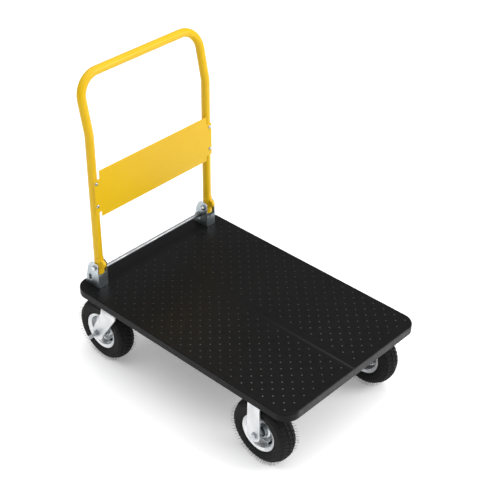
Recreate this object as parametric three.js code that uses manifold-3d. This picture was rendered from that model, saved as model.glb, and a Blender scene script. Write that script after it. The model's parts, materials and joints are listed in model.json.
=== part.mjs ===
// Folding platform cart: a pressed steel deck on two rigid and two swivel pneumatic casters, with a
// tubular handle that folds forward over the deck about two hinge brackets.
// Millimetres, +Z up, the cart's length along Y with the handle at +Y. The origin is on the floor,
// under the middle of the whole cart.
import * as THREE from "three";
import { mergeVertices } from "three/addons/utils/BufferGeometryUtils.js";
import Module from "manifold-3d";

const wasm = await Module();
wasm.setup();

// ---------- driving dimensions ----------
const GAP = 0.3; // left between pieces that touch
const RUN = 0.6; // left around pieces that turn or slide
const FAR = 500; // how far a cutter reaches past the piece that it cuts

// Deck
const deckLength = 900;
const deckWidth = 600;
const deckCorner = 48;
const deckSheet = 2;
const deckFold = 3; // rounding where the top folds down into the skirt
const skirtDepth = 27;
const channelSheet = 2.5;
const channelEndGap = 3; // crossmember's end to the inside of the skirt
const crossmemberWidth = 100;
const railWidth = 44;
const railOffset = 150; // from the middle of the deck to the middle of each rail

// Casters
const casterInset = 136; // deck end to the front axle, and to the rear swivel axis
const casterTrack = 480; // wheel centre to wheel centre
const swivelTrail = 56;
const rigidForkOffset = 6; // the rigid fork stands this far behind its axle
const tyreRadius = 107;
const tyreWidth = 62;
const rimSeatRadius = 51.5;
const rimFlangeRadius = 62;
const rimFlangeReach = 28; // wheel centre to the outside of the flange
const rimSheet = 2.2;
const hubRadius = 22;
const hubSleeveRadius = 13;
const hubSleeveFrom = 17; // wheel centre to where the hub narrows to its sleeve
const hubBarrelHalf = 15;
const axleRadius = 6;
const axleHead = 7;
const axleHexRadius = 10.5;
const axleNutHeight = 10;
const forkInside = 76;
const forkSheet = 5;
const forkCrownGap = 8.8; // tyre to the underside of the fork's crown
const forkFootRadius = 25;
const forkShoulder = 28; // below its crown the fork keeps its full width this far
const rigidForkWidth = 46;
const swivelForkWidth = 64;
const rigidThreadReach = 60; // wheel centre to the end of the axle's thread
const swivelThreadReach = 80;
const raceHeight = 6.3;
const raceRadius = 32;
const kingpinRadius = 6;
const raceBoreRadius = 11;
const kingpinHead = 12;
const kingpinHeadHeight = 5;
const plateSheet = 5;
const plateWidth = 104;
const plateLength = 94;
const plateBoltRadius = 4.5;
const plateBoltInset = 11;
const plateCorner = 8;

// Handle
const handleWidth = 480; // leg centre to leg centre
const hingeInset = 61; // deck's rear edge to the leg's axis
const tubeRadius = 14;
const tubeWall = 1.5;
const legFoot = 50; // heights from here on are above the deck's top
const pivotHeight = 73;
const rakeStart = 540;
const handleTop = 711; // axis of the grip bar
const handleRake = 35; // the grip bar stands this far behind the legs
const gripCorner = 70;
const rakeCorner = 110;
const panelSheet = 2;
const panelLow = 258;
const panelHigh = 419;
const tabLow = 276;
const tabHigh = 391;
const tabReach = 15; // past the leg's axis
const panelScrewHeights = [300, 379];
const panelScrewRadius = 2.5;
const panelScrewHead = 5.5;
const panelScrewHeadHeight = 3;

// Hinge and lock
const bracketSheet = 2.5;
const bracketDepth = 62;
const bracketLobe = 20; // rounding over the pivot
const bracketToe = 12; // height of the bracket's rear edge before it slopes forward
const bracketSlope = 12; // how far forward that slope leans
const shoeWall = 2.2;
const shoeHigh = 108;
const stopNoseRadius = 17;
const stopNoseHeight = 88;
const stopNoseWidth = 12;
const pivotRadius = 5;
const pivotHead = 9;
const pivotHeadHeight = 5.5;
const pivotNutHeight = 8;
const pivotThreadPast = 11; // past the bracket's inner side
const barRadius = 6.3;
const barWall = 1.4;
const barHeight = 35;
const barSetback = 23; // behind the leg's axis
const barTravel = 12;
const barCollarRadius = 9.5;
const barCollarWidth = 6;
const springRadius = 6;
const springWire = 0.9;
const springTurns = 5;

// ---------- places worked out from them ----------
const axleHeight = tyreRadius;
const crownTop = 2 * tyreRadius + forkCrownGap + forkSheet;
const raceTop = crownTop + GAP + raceHeight;
const plateTop = raceTop + GAP + plateSheet;
const skirtLow = plateTop + GAP;
const deckTop = skirtLow + skirtDepth;
const channelHeight = skirtDepth - deckSheet - GAP;
const frontAxleY = casterInset - deckLength / 2;
const swivelY = deckLength / 2 - casterInset;
const rigidForkY = frontAxleY + rigidForkOffset;
const legX = handleWidth / 2;
const legY = deckLength / 2 - hingeInset;
const shoeRadius = tubeRadius + GAP + shoeWall;
const bracketInside = 2 * (shoeRadius + RUN / 2);
const bracketOutside = bracketInside + 2 * bracketSheet;
const bracketFront = legY - shoeRadius - GAP;
const stopNoseY = bracketFront + GAP + 2;
// With the handle folded flat, the nose lies on the top edge of the bracket's front wall.
const frontWallTop = pivotHeight - (legY - stopNoseY) - stopNoseRadius - GAP;
const barY = legY + barSetback;
const panelFront = legY - tubeRadius - GAP - panelSheet;

// ---------- materials ----------
const paint = (color, roughness, metalness) => new THREE.MeshStandardMaterial({ color, roughness, metalness });
const blackPaint = () => paint(0x232323, 0.45, 0.1);
const yellowPaint = () => paint(0xefc022, 0.4, 0.1);
const zinc = () => paint(0xb4bcbe, 0.35, 0.9);
const wheelSteel = () => paint(0xc6cacb, 0.3, 0.9);
const tyreRubber = () => paint(0x222222, 0.8, 0);
const tubeRubber = () => paint(0x2b2b2b, 0.6, 0);

// ---------- solids ----------
function solid(geometry) {
  const bare = (geometry.index ? geometry.toNonIndexed() : geometry).clone();
  for (const name of ["normal", "uv"]) bare.deleteAttribute(name);
  const merged = mergeVertices(bare, 1e-4);
  const vertProperties = new Float32Array(merged.attributes.position.array);
  const triVerts = new Uint32Array(merged.index.array);
  return new wasm.Manifold(new wasm.Mesh({ numProp: 3, vertProperties, triVerts }));
}

function shapeOf(body) {
  const { vertProperties, triVerts } = body.getMesh();
  const geometry = new THREE.BufferGeometry();
  geometry.setAttribute("position", new THREE.BufferAttribute(vertProperties, 3));
  geometry.setIndex(new THREE.BufferAttribute(triVerts, 1));
  return geometry;
}

const join = (first, ...others) => shapeOf(others.reduce((all, g) => all.add(solid(g)), solid(first)));
const cut = (first, ...others) => shapeOf(others.reduce((all, g) => all.subtract(solid(g)), solid(first)));
const overlap = (first, second) => shapeOf(solid(first).intersect(solid(second)));

const box = (low, high) => {
  const size = high.map((value, i) => value - low[i]);
  return new THREE.BoxGeometry(...size).translate(...low.map((value, i) => value + size[i] / 2));
};

// A round bar from `from` up to `to` along X, Y or Z.
function rod(axis, radius, from, to, sides = 16) {
  const bar = new THREE.CylinderGeometry(radius, radius, to - from, sides);
  bar.translate(0, (from + to) / 2, 0);
  if (axis === "x") bar.rotateZ(-Math.PI / 2);
  if (axis === "z") bar.rotateX(Math.PI / 2);
  return bar;
}

// A profile of [radius, distance along the axis], either way round, turned about X or Z.
function turned(axis, profile, sides) {
  const points = profile.map(([radius, along]) => new THREE.Vector2(radius, along));
  if (THREE.ShapeUtils.isClockWise(points)) points.reverse();
  const ring = new THREE.LatheGeometry([...points, points[0]], sides);
  if (axis === "x") ring.rotateZ(-Math.PI / 2);
  if (axis === "z") ring.rotateX(Math.PI / 2);
  return ring;
}

// An outline of [y, z] points, pressed through from x = low to x = high.
function plateAcross(outline, low, high) {
  const shape = new THREE.Shape(outline.map((p) => new THREE.Vector2(...p)));
  const plate = new THREE.ExtrudeGeometry(shape, { depth: high - low, bevelEnabled: false });
  return plate.rotateX(Math.PI / 2).rotateZ(Math.PI / 2).translate(low, 0, 0);
}

// The outline starts at its front right corner. The deck's top is then split into two large facets,
// and one of them lies wholly ahead of the hinge brackets.
function roundedRectangle(width, length, radius) {
  const shape = new THREE.Shape();
  const x = width / 2 - radius;
  const y = length / 2 - radius;
  shape.absarc(x, -y, radius, 1.5 * Math.PI, 2 * Math.PI);
  shape.absarc(x, y, radius, 0, Math.PI / 2);
  shape.absarc(-x, y, radius, Math.PI / 2, Math.PI);
  shape.absarc(-x, -y, radius, Math.PI, 1.5 * Math.PI);
  return shape;
}

const slab = (shape, low, high, curveSegments = 6) =>
  new THREE.ExtrudeGeometry(shape, { depth: high - low, bevelEnabled: false, curveSegments }).translate(0, 0, low);

// Points along an arc of a circle, in [y, z].
function arc([y, z], radius, fromDegrees, toDegrees, steps) {
  return Array.from({ length: steps + 1 }, (_, i) => {
    const angle = THREE.MathUtils.degToRad(fromDegrees + ((toDegrees - fromDegrees) * i) / steps);
    return [y + radius * Math.cos(angle), z + radius * Math.sin(angle)];
  });
}

// A path through stations, each with its own point and direction.
class StationPath extends THREE.Curve {
  constructor(stations) {
    super();
    this.stations = stations;
  }
  at(t) {
    return this.stations[Math.round(t * (this.stations.length - 1))];
  }
  getPoint(t) {
    return this.at(t).point.clone();
  }
  getPointAt(t) {
    return this.getPoint(t);
  }
  getTangentAt(t) {
    return this.at(t).direction.clone();
  }
}

// Straight runs between corners, each corner bent to its own radius.
function bentPath(corners, radii, steps) {
  const stations = [];
  const towards = (from, to) => to.clone().sub(from).normalize();
  const last = corners.length - 1;
  stations.push({ point: corners[0], direction: towards(corners[0], corners[1]) });
  for (let i = 1; i < last; i++) {
    const before = towards(corners[i - 1], corners[i]);
    const after = towards(corners[i], corners[i + 1]);
    const turn = before.angleTo(after);
    const reach = radii[i - 1] * Math.tan(turn / 2);
    const start = corners[i].clone().addScaledVector(before, -reach);
    const inward = after.clone().addScaledVector(before, -after.dot(before)).normalize();
    for (let s = 0; s <= steps; s++) {
      const angle = (turn * s) / steps;
      const point = start.clone().addScaledVector(before, radii[i - 1] * Math.sin(angle));
      point.addScaledVector(inward, radii[i - 1] * (1 - Math.cos(angle)));
      const direction = before.clone().multiplyScalar(Math.cos(angle)).addScaledVector(inward, Math.sin(angle));
      stations.push({ point, direction });
    }
  }
  stations.push({ point: corners[last], direction: towards(corners[last - 1], corners[last]) });
  return new StationPath(stations);
}

function sweep(path, steps, radius, wall, sides) {
  const ring = (r) => Array.from({ length: sides }, (_, i) => {
    const angle = (2 * Math.PI * i) / sides;
    return new THREE.Vector2(r * Math.cos(angle), r * Math.sin(angle));
  });
  const section = new THREE.Shape(ring(radius));
  if (wall > 0) section.holes.push(new THREE.Path(ring(radius - wall)));
  return new THREE.ExtrudeGeometry(section, { extrudePath: path, steps, bevelEnabled: false });
}

const cart = new THREE.Group();

function piece(name, geometry, material, place = [0, 0, 0]) {
  const mesh = new THREE.Mesh(geometry, material);
  mesh.name = name;
  mesh.position.set(...place);
  cart.add(mesh);
  return mesh;
}

const sides = [
  { side: "left", sign: -1 },
  { side: "right", sign: 1 },
];

// ---------- deck ----------
function deckPan() {
  const blank = new THREE.ExtrudeGeometry(
    roundedRectangle(deckWidth - 2 * deckFold, deckLength - 2 * deckFold, deckCorner - deckFold),
    { depth: skirtDepth, bevelThickness: deckFold, bevelSize: deckFold, bevelSegments: 2, curveSegments: 6 },
  ).translate(0, 0, deckTop - deckFold - skirtDepth);
  const inside = roundedRectangle(deckWidth - 2 * deckSheet, deckLength - 2 * deckSheet, deckCorner - deckSheet);
  const below = box([-deckWidth, -deckLength, skirtLow - skirtDepth], [deckWidth, deckLength, skirtLow]);
  return cut(blank, slab(inside, skirtLow - 1, deckTop - deckSheet), below);
}

// A channel with its flat web down and its two walls up against the deck, along `axis`.
function channel(axis, width, length) {
  const low = skirtLow;
  const high = skirtLow + channelHeight;
  const outer = axis === "x" ? [length / 2, width / 2] : [width / 2, length / 2];
  const inner = axis === "x" ? [length, width / 2 - channelSheet] : [width / 2 - channelSheet, length];
  return cut(
    box([-outer[0], -outer[1], low], [outer[0], outer[1], high]),
    box([-inner[0], -inner[1], low + channelSheet], [inner[0], inner[1], high + 1]),
  );
}

const plateBolts = [-1, 1].flatMap((x) =>
  [-1, 1].map((y) => [x * (plateWidth / 2 - plateBoltInset), y * (plateLength / 2 - plateBoltInset)]),
);

// Bolt holes for both casters, and where they swivel a hole that takes the kingpin's upper head.
function crossmember(y, kingpins) {
  const length = deckWidth - 2 * (deckSheet + GAP + channelEndGap);
  const holes = sides.flatMap(({ sign }) => {
    const x = (sign * casterTrack) / 2;
    const bolts = plateBolts.map(([dx, dy]) =>
      rod("z", plateBoltRadius + GAP, skirtLow - 1, skirtLow + channelSheet + 1, 8).translate(x + dx, dy, 0),
    );
    const well = rod("z", kingpinHead + 2, skirtLow - 1, skirtLow + channelSheet + 1).translate(x, 0, 0);
    return kingpins ? [...bolts, well] : bolts;
  });
  return cut(channel("x", crossmemberWidth, length), ...holes).translate(0, y, 0);
}

piece("deck_pan", deckPan(), blackPaint());
piece("front_crossmember", crossmember(rigidForkY, false), blackPaint());
piece("rear_crossmember", crossmember(swivelY, true), blackPaint());
const railFrom = rigidForkY + crossmemberWidth / 2 + GAP;
const railTo = swivelY - crossmemberWidth / 2 - GAP;
for (const { side, sign } of sides) {
  const place = [sign * railOffset, (railFrom + railTo) / 2, 0];
  piece(`${side}_rail`, channel("y", railWidth, railTo - railFrom), blackPaint(), place);
}

// ---------- wheels ----------
// Profiles are [radius, distance from the wheel's centre plane].
const mirrored = (half) => [...half, ...half.map(([radius, along]) => [radius, -along]).reverse()];

// An open horseshoe section, bead to bead, with room inside for the inner tube.
function tyre() {
  const half = tyreWidth / 2;
  const bead = rimSeatRadius + GAP + 0.7;
  const section = [
    [tyreRadius - 9, half - 20],
    [rimFlangeRadius + 18, half - 7],
    [rimFlangeRadius + 1, rimFlangeReach - 11],
    [bead, rimFlangeReach - 17],
    [bead, rimFlangeReach - 7.5],
    [rimFlangeRadius + 1, rimFlangeReach - 3],
    [rimFlangeRadius + 11, half],
    [tyreRadius - 19, half - 1],
    [tyreRadius - 4, half - 11],
    [tyreRadius, half - 21],
  ];
  return turned("x", mirrored(section), 24);
}

// The inner tube fills the horseshoe, just clear of it.
function innerTube() {
  const half = tyreWidth / 2;
  const section = [
    [tyreRadius - 12, half - 23],
    [rimFlangeRadius + 18, half - 11],
    [rimFlangeRadius + 4, rimFlangeReach - 15],
    [rimSeatRadius + 3, rimFlangeReach - 20],
  ];
  return turned("x", mirrored(section), 16);
}

// One pressed half of the rim: the flat disc, the bead seat and the flange.
function rimHalf(sign) {
  const seat = rimSeatRadius;
  const profile = [
    [hubRadius + GAP, GAP / 2],
    [seat, GAP / 2],
    [seat, rimFlangeReach - 7],
    [rimFlangeRadius, rimFlangeReach - rimSheet],
    [rimFlangeRadius, rimFlangeReach],
    [seat - rimSheet, rimFlangeReach - 4],
    [seat - rimSheet, GAP / 2 + rimSheet],
    [hubRadius + GAP, GAP / 2 + rimSheet],
  ];
  const half = turned("x", profile, 20);
  return sign > 0 ? half : half.rotateZ(Math.PI);
}

function hub() {
  const reach = forkInside / 2 - GAP;
  const bore = axleRadius + GAP;
  const profile = mirrored([
    [bore, reach],
    [hubSleeveRadius, reach],
    [hubSleeveRadius, hubSleeveFrom],
    [hubRadius, hubBarrelHalf],
  ]);
  return turned("x", profile, 16);
}

// Hexagon head on the inside or the outside of the fork, a long shank and the nut's thread.
const forkFace = forkInside / 2 + forkSheet;

function axleBolt(sign, threadReach) {
  const head = rod("x", axleHexRadius, -forkFace - GAP - axleHead, -forkFace - GAP, 6);
  const shank = rod("x", axleRadius, -forkFace - GAP - axleHead, threadReach, 12);
  const bolt = join(head, shank);
  return sign > 0 ? bolt : bolt.rotateZ(Math.PI);
}

function axleNut(sign) {
  const nut = cut(
    rod("x", axleHexRadius, forkFace + GAP, forkFace + GAP + axleNutHeight, 6),
    rod("x", axleRadius + GAP, forkFace - 1, forkFace + GAP + axleNutHeight + 1, 12),
  );
  return sign > 0 ? nut : nut.rotateZ(Math.PI);
}

function wheel(name, place, sign) {
  piece(`${name}_tyre`, tyre(), tyreRubber(), place);
  piece(`${name}_inner_tube`, innerTube(), tubeRubber(), place);
  piece(`${name}_rim_outer`, rimHalf(sign), wheelSteel(), place);
  piece(`${name}_rim_inner`, rimHalf(-sign), wheelSteel(), place);
  piece(`${name}_hub`, hub(), zinc(), place);
}

// ---------- casters ----------
// A fork pressed from one strip: the outline of its legs across its whole width, less the inside.
function fork(outline, crownUnderside) {
  const cutout = box([-forkInside / 2, -FAR, -FAR], [forkInside / 2, FAR, crownUnderside]);
  const axle = rod("x", axleRadius + GAP, -forkFace - 1, forkFace + 1);
  return [plateAcross(outline, -forkFace, forkFace), cutout, axle];
}

// Leg outline about the axle: a round foot below, straight edges up to the crown.
function legOutline(footY, topY, topWidth, top) {
  const foot = arc([footY, 0], forkFootRadius, 180, 360, 8);
  const edge = [
    [topY + topWidth / 2, top - forkShoulder],
    [topY + topWidth / 2, top],
    [topY - topWidth / 2, top],
    [topY - topWidth / 2, top - forkShoulder],
  ];
  return [...foot, ...edge];
}

function topPlate(kingpin) {
  const holes = plateBolts.map(([x, y]) =>
    rod("z", plateBoltRadius, plateTop - plateSheet - 1, plateTop + 1, 8).translate(x, y, 0),
  );
  if (kingpin) holes.push(rod("z", kingpinRadius + GAP, plateTop - plateSheet - 1, plateTop + 1));
  const plate = slab(roundedRectangle(plateWidth, plateLength, plateCorner), plateTop - plateSheet, plateTop, 2);
  return cut(plate, ...holes);
}

function rigidCaster({ side, sign }) {
  const name = `front_${side}`;
  const x = (sign * casterTrack) / 2;
  const weld = 1; // the legs run this far up into the plate
  const top = plateTop - plateSheet - axleHeight + weld;
  const underside = crownTop - forkSheet - axleHeight;
  const [legs, ...cuts] = fork(legOutline(rigidForkOffset, rigidForkOffset, rigidForkWidth, top), underside);
  const plate = topPlate(false).translate(0, rigidForkOffset, -axleHeight);
  const place = [x, frontAxleY, axleHeight];
  piece(`${name}_fork`, join(cut(legs, ...cuts), plate), zinc(), place);
  piece(`${name}_axle_bolt`, axleBolt(-sign, rigidThreadReach), zinc(), place);
  piece(`${name}_axle_nut`, axleNut(-sign), zinc(), place);
  wheel(name, place, sign);
}

function swivelCaster({ side, sign }) {
  const name = `rear_${side}`;
  const x = (sign * casterTrack) / 2;
  const top = crownTop - axleHeight;
  const outline = legOutline(0, -swivelTrail, swivelForkWidth, top);
  const [legs, ...cuts] = fork(outline, top - forkSheet);
  const bore = rod("z", kingpinRadius + RUN, top - forkSheet - 1, top + 1).translate(0, -swivelTrail, 0);
  const place = [x, swivelY + swivelTrail, axleHeight];
  piece(`${name}_fork`, cut(legs, ...cuts, bore), zinc(), place);
  piece(`${name}_axle_bolt`, axleBolt(sign, swivelThreadReach), zinc(), place);
  piece(`${name}_axle_nut`, axleNut(sign), zinc(), place);
  wheel(name, place, sign);

  piece(`${name}_top_plate`, topPlate(true), zinc(), [x, swivelY, 0]);
  const race = [[raceBoreRadius, 0], [raceRadius, 0], [raceRadius - 3, raceHeight], [raceBoreRadius, raceHeight]];
  piece(`${name}_swivel_race`, turned("z", race, 20), zinc(), [x, swivelY, crownTop + GAP]);
  const headLow = crownTop - forkSheet - GAP - kingpinHeadHeight;
  const kingpin = join(
    rod("z", kingpinRadius, headLow, plateTop + GAP + kingpinHeadHeight, 12),
    rod("z", kingpinHead, plateTop + GAP, plateTop + GAP + kingpinHeadHeight, 12),
    rod("z", kingpinHead - 2, headLow, headLow + kingpinHeadHeight, 12),
  );
  piece(`${name}_kingpin`, kingpin, zinc(), [x, swivelY, 0]);
}

for (const each of sides) rigidCaster(each);
for (const each of sides) swivelCaster(each);

// ---------- handle ----------
const screwPlaces = sides.flatMap(({ sign }) => panelScrewHeights.map((height) => [sign * legX, deckTop + height]));

function handleTube() {
  const leg = (sign, y, height) => new THREE.Vector3(sign * legX, y, deckTop + height);
  const corners = [
    leg(-1, legY, legFoot),
    leg(-1, legY, rakeStart),
    leg(-1, legY + handleRake, handleTop),
    leg(1, legY + handleRake, handleTop),
    leg(1, legY, rakeStart),
    leg(1, legY, legFoot),
  ];
  const path = bentPath(corners, [rakeCorner, gripCorner, gripCorner, rakeCorner], 4);
  const tube = sweep(path, path.stations.length - 1, tubeRadius, tubeWall, 14);
  const pivotHoles = rod("x", pivotRadius + GAP, -deckWidth, deckWidth).translate(0, legY, deckTop + pivotHeight);
  const screwHoles = screwPlaces.map(([x, z]) =>
    rod("y", panelScrewRadius + GAP, legY - tubeRadius - 2, legY - tubeRadius / 2, 8).translate(x, 0, z),
  );
  return cut(tube, pivotHoles, ...screwHoles);
}

function backPanel() {
  const plate = legX - tubeRadius - GAP;
  const tab = legX + tabReach;
  const outline = [
    [-plate, panelLow], [plate, panelLow], [plate, tabLow], [tab, tabLow], [tab, tabHigh], [plate, tabHigh],
    [plate, panelHigh], [-plate, panelHigh], [-plate, tabHigh], [-tab, tabHigh], [-tab, tabLow], [-plate, tabLow],
  ].map(([x, height]) => new THREE.Vector2(x, deckTop + height));
  const sheet = new THREE.ExtrudeGeometry(new THREE.Shape(outline), { depth: panelSheet, bevelEnabled: false });
  sheet.rotateX(Math.PI / 2).translate(0, panelFront + panelSheet, 0);
  const holes = screwPlaces.map(([x, z]) =>
    rod("y", panelScrewRadius + GAP, panelFront - 1, panelFront + panelSheet + 1, 8).translate(x, 0, z),
  );
  return cut(sheet, ...holes);
}

function panelScrew() {
  const seat = panelFront - GAP;
  const head = rod("y", panelScrewHead, seat - panelScrewHeadHeight, seat, 12);
  const tip = legY - tubeRadius + tubeWall + 3;
  return join(head, rod("y", panelScrewRadius, seat - panelScrewHeadHeight, tip, 8));
}

piece("handle_tube", handleTube(), yellowPaint());
piece("back_panel", backPanel(), yellowPaint());
sides.forEach(({ side, sign }) => {
  panelScrewHeights.forEach((height, i) => {
    const name = `panel_screw_${side}_${i === 0 ? "lower" : "upper"}`;
    piece(name, panelScrew(), zinc(), [sign * legX, 0, deckTop + height]);
  });
});

// ---------- hinge brackets, shoes and pivots ----------
// Side walls with a lobe round the pivot that slope down behind, a front wall and a floor.
function hingeBracket() {
  const back = bracketFront + bracketDepth;
  const half = bracketOutside / 2;
  const outline = [
    [bracketFront, GAP],
    [back, GAP],
    [back - 1, bracketToe],
    [back - 1 - bracketSlope, pivotHeight - 6],
    ...arc([legY + 6, pivotHeight], bracketLobe, 20, 90, 4),
    ...arc([legY - 2, pivotHeight + 3], bracketLobe - 3, 110, 150, 3),
    [bracketFront, pivotHeight - 8],
    [bracketFront, frontWallTop],
  ];
  const inside = bracketInside / 2;
  const barSlot = [
    ...arc([barY, barHeight], barRadius + RUN, 0, 180, 6),
    ...arc([barY, barHeight - barTravel], barRadius + RUN, 180, 360, 6),
  ];
  return cut(
    plateAcross(outline, -half, half),
    box([-inside, bracketFront + bracketSheet, GAP + bracketSheet], [inside, back + 1, FAR]),
    box([-inside, bracketFront - shoeRadius, frontWallTop], [inside, back, FAR]),
    rod("x", pivotRadius + GAP, -half - 1, half + 1).translate(0, legY, pivotHeight),
    plateAcross(barSlot, -half - 1, half + 1),
  );
}

// A saddle round the front of the leg, with a rounded nose that the folded handle rests on.
function hingeShoe() {
  const bore = tubeRadius + GAP;
  const front = box([-FAR, -FAR, 0], [FAR, 0, FAR]);
  const saddle = overlap(rod("z", shoeRadius, legFoot, shoeHigh, 24), front);
  const nose = rod("x", stopNoseRadius, -stopNoseWidth / 2, stopNoseWidth / 2, 20);
  nose.translate(0, stopNoseY - legY, stopNoseHeight);
  return cut(
    join(saddle, overlap(nose, front.clone().translate(0, -2, 0))),
    rod("z", bore, legFoot - 1, shoeHigh + 1, 24),
    rod("x", pivotRadius + GAP, -FAR, FAR).translate(0, 0, pivotHeight),
  ).translate(0, legY, 0);
}

function pivotBolt(sign) {
  const half = bracketOutside / 2 + GAP;
  const bolt = join(
    rod("x", pivotHead, half, half + pivotHeadHeight, 6),
    rod("x", pivotRadius, -half - pivotThreadPast, half + pivotHeadHeight, 12),
  );
  return sign > 0 ? bolt : bolt.rotateZ(Math.PI);
}

function pivotNut(sign) {
  const half = bracketOutside / 2 + GAP;
  const nut = cut(
    rod("x", pivotHead, -half - pivotNutHeight, -half, 6),
    rod("x", pivotRadius + GAP, -half - pivotNutHeight - 1, -half + 1, 12),
  );
  return sign > 0 ? nut : nut.rotateZ(Math.PI);
}

for (const { side, sign } of sides) {
  const place = [sign * legX, 0, deckTop];
  const pivot = [sign * legX, legY, deckTop + pivotHeight];
  piece(`hinge_bracket_${side}`, hingeBracket(), zinc(), place);
  piece(`hinge_shoe_${side}`, hingeShoe(), yellowPaint(), place);
  piece(`pivot_bolt_${side}`, pivotBolt(sign), zinc(), pivot);
  piece(`pivot_nut_${side}`, pivotNut(sign), zinc(), pivot);
}

// ---------- release bar and its springs ----------
function releaseBar() {
  const end = legX + bracketOutside / 2 + 1;
  const collar = legX - bracketOutside / 2 - RUN;
  const half = [
    [barRadius - barWall, end],
    [barRadius, end],
    [barRadius, collar],
    [barCollarRadius, collar],
    [barCollarRadius, collar - barCollarWidth],
    [barRadius, collar - barCollarWidth],
  ];
  return turned("x", mirrored(half), 16);
}

// An open coil that stands on the bracket's floor and carries the bar.
class CoilPath extends THREE.Curve {
  getPoint(t) {
    const low = GAP + bracketSheet + GAP + springWire;
    const high = barHeight - barRadius - GAP - springWire;
    const angle = 2 * Math.PI * springTurns * t;
    const radius = springRadius - springWire;
    return new THREE.Vector3(radius * Math.cos(angle), radius * Math.sin(angle), low + (high - low) * t);
  }
}

piece("release_bar", releaseBar(), zinc(), [0, barY, deckTop + barHeight]);
for (const { side, sign } of sides) {
  const coil = sweep(new CoilPath(), 8 * springTurns, springWire, 0, 6);
  piece(`release_spring_${side}`, coil, zinc(), [sign * legX, barY, deckTop]);
}

// ---------- the origin goes under the middle of the whole cart ----------
const whole = new THREE.Box3().setFromObject(cart, true);
const middle = whole.getCenter(new THREE.Vector3());
cart.position.set(-middle.x, -middle.y, -whole.min.z);

export default cart;
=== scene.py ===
import json
import math

import bmesh
import bpy
from mathutils import Matrix, Vector


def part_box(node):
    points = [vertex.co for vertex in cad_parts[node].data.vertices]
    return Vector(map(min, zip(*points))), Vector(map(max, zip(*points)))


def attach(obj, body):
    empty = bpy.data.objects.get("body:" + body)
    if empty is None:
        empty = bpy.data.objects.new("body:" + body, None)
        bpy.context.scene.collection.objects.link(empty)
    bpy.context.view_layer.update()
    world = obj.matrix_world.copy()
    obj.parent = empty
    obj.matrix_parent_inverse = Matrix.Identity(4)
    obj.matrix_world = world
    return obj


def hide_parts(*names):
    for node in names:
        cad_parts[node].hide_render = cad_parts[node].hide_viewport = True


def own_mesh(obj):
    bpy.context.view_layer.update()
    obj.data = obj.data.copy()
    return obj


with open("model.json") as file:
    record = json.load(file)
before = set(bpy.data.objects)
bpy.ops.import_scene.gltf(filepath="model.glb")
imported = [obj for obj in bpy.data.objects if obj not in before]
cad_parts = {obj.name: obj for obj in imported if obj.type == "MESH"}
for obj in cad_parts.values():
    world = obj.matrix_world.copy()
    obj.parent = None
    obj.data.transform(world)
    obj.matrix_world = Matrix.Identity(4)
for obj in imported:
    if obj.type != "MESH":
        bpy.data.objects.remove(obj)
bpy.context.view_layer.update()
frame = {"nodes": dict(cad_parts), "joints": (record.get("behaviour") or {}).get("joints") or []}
SIDES = {"left": -1, "right": 1}


# ---------- deck pan ----------
# The platform: one 2 mm steel sheet with its four sides folded down into a skirt, the rounded
# corners welded and dressed, rows of grip pips pressed up through the top, powder coated black.
deck_low, deck_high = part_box("deck_pan")
DECK_MIDDLE = (deck_low + deck_high) / 2
DECK_SHEET = 0.002
DECK_FOLD = 0.0042
DECK_CORNER = 0.048
CREASE_X = -0.007
CREASE_HALF_WIDTH = 0.006
CREASE_HEIGHT = 0.0014
PANEL_SAG = 0.0006
# Lighter black for the edges: partly worn paint, partly a painted highlight along the folds.
WORN_AND_HIGHLIT_BLACK = (0.06, 0.06, 0.062)
# Lighter grey for the front skirt's flat face: painted light where the key light falls.
FRONT_SKIRT_PAINTED_LIGHT = (0.046, 0.046, 0.046)
CREASE_GREY = (0.024, 0.024, 0.024)


def add(tree, kind, inputs=None, **settings):
    """Adds one node. Its inputs, by name or number, take a value or another node's output."""
    node = tree.nodes.new(kind)
    for setting, value in settings.items():
        setattr(node, setting, value)
    for name, value in (inputs or {}).items():
        if isinstance(value, bpy.types.NodeSocket):
            tree.links.new(value, node.inputs[name])
        else:
            node.inputs[name].default_value = value
    return node


def new_finish(name, **shader_values):
    """A material with one shader, and the place on the piece that its patterns are read from."""
    material = bpy.data.materials.new(name)
    material.use_nodes = True
    tree = material.node_tree
    tree.nodes.clear()
    shader = add(tree, "ShaderNodeBsdfPrincipled")
    for socket, value in shader_values.items():
        shader.inputs[socket.replace("_", " ")].default_value = value
    add(tree, "ShaderNodeOutputMaterial", {"Surface": shader.outputs[0]})
    place = add(tree, "ShaderNodeTexCoord").outputs["Object"]
    return material, tree, shader, place


def grain(tree, place, scale, detail=3, stretch=(1, 1, 1)):
    """Cloudy variation, `scale` features to the metre, drawn out along an axis by `stretch`."""
    drawn = add(tree, "ShaderNodeMapping", {"Vector": place, "Scale": stretch})
    values = {"Vector": drawn.outputs[0], "Scale": scale, "Detail": detail}
    return add(tree, "ShaderNodeTexNoise", values).outputs[0]


def ranged(tree, factor, low, high, start=0.3, end=0.7):
    """Turns variation into a number that runs from low to high."""
    values = {0: factor, 1: start, 2: end, 3: low, 4: high}
    return add(tree, "ShaderNodeMapRange", values).outputs[0]


def tinted(tree, factor, first, second):
    """Blends from a colour, or from what another blend gives, to a second colour."""
    under = first if isinstance(first, bpy.types.NodeSocket) else (*first, 1)
    return add(tree, "ShaderNodeMix", {0: factor, 6: under, 7: (*second, 1)}, data_type="RGBA").outputs[2]


def worked(tree, operation, *values):
    """One sum on numbers or on what other nodes give."""
    return add(tree, "ShaderNodeMath", dict(enumerate(values)), operation=operation).outputs[0]


def multiplied(tree, first, second):
    return worked(tree, "MULTIPLY", first, second)


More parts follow.
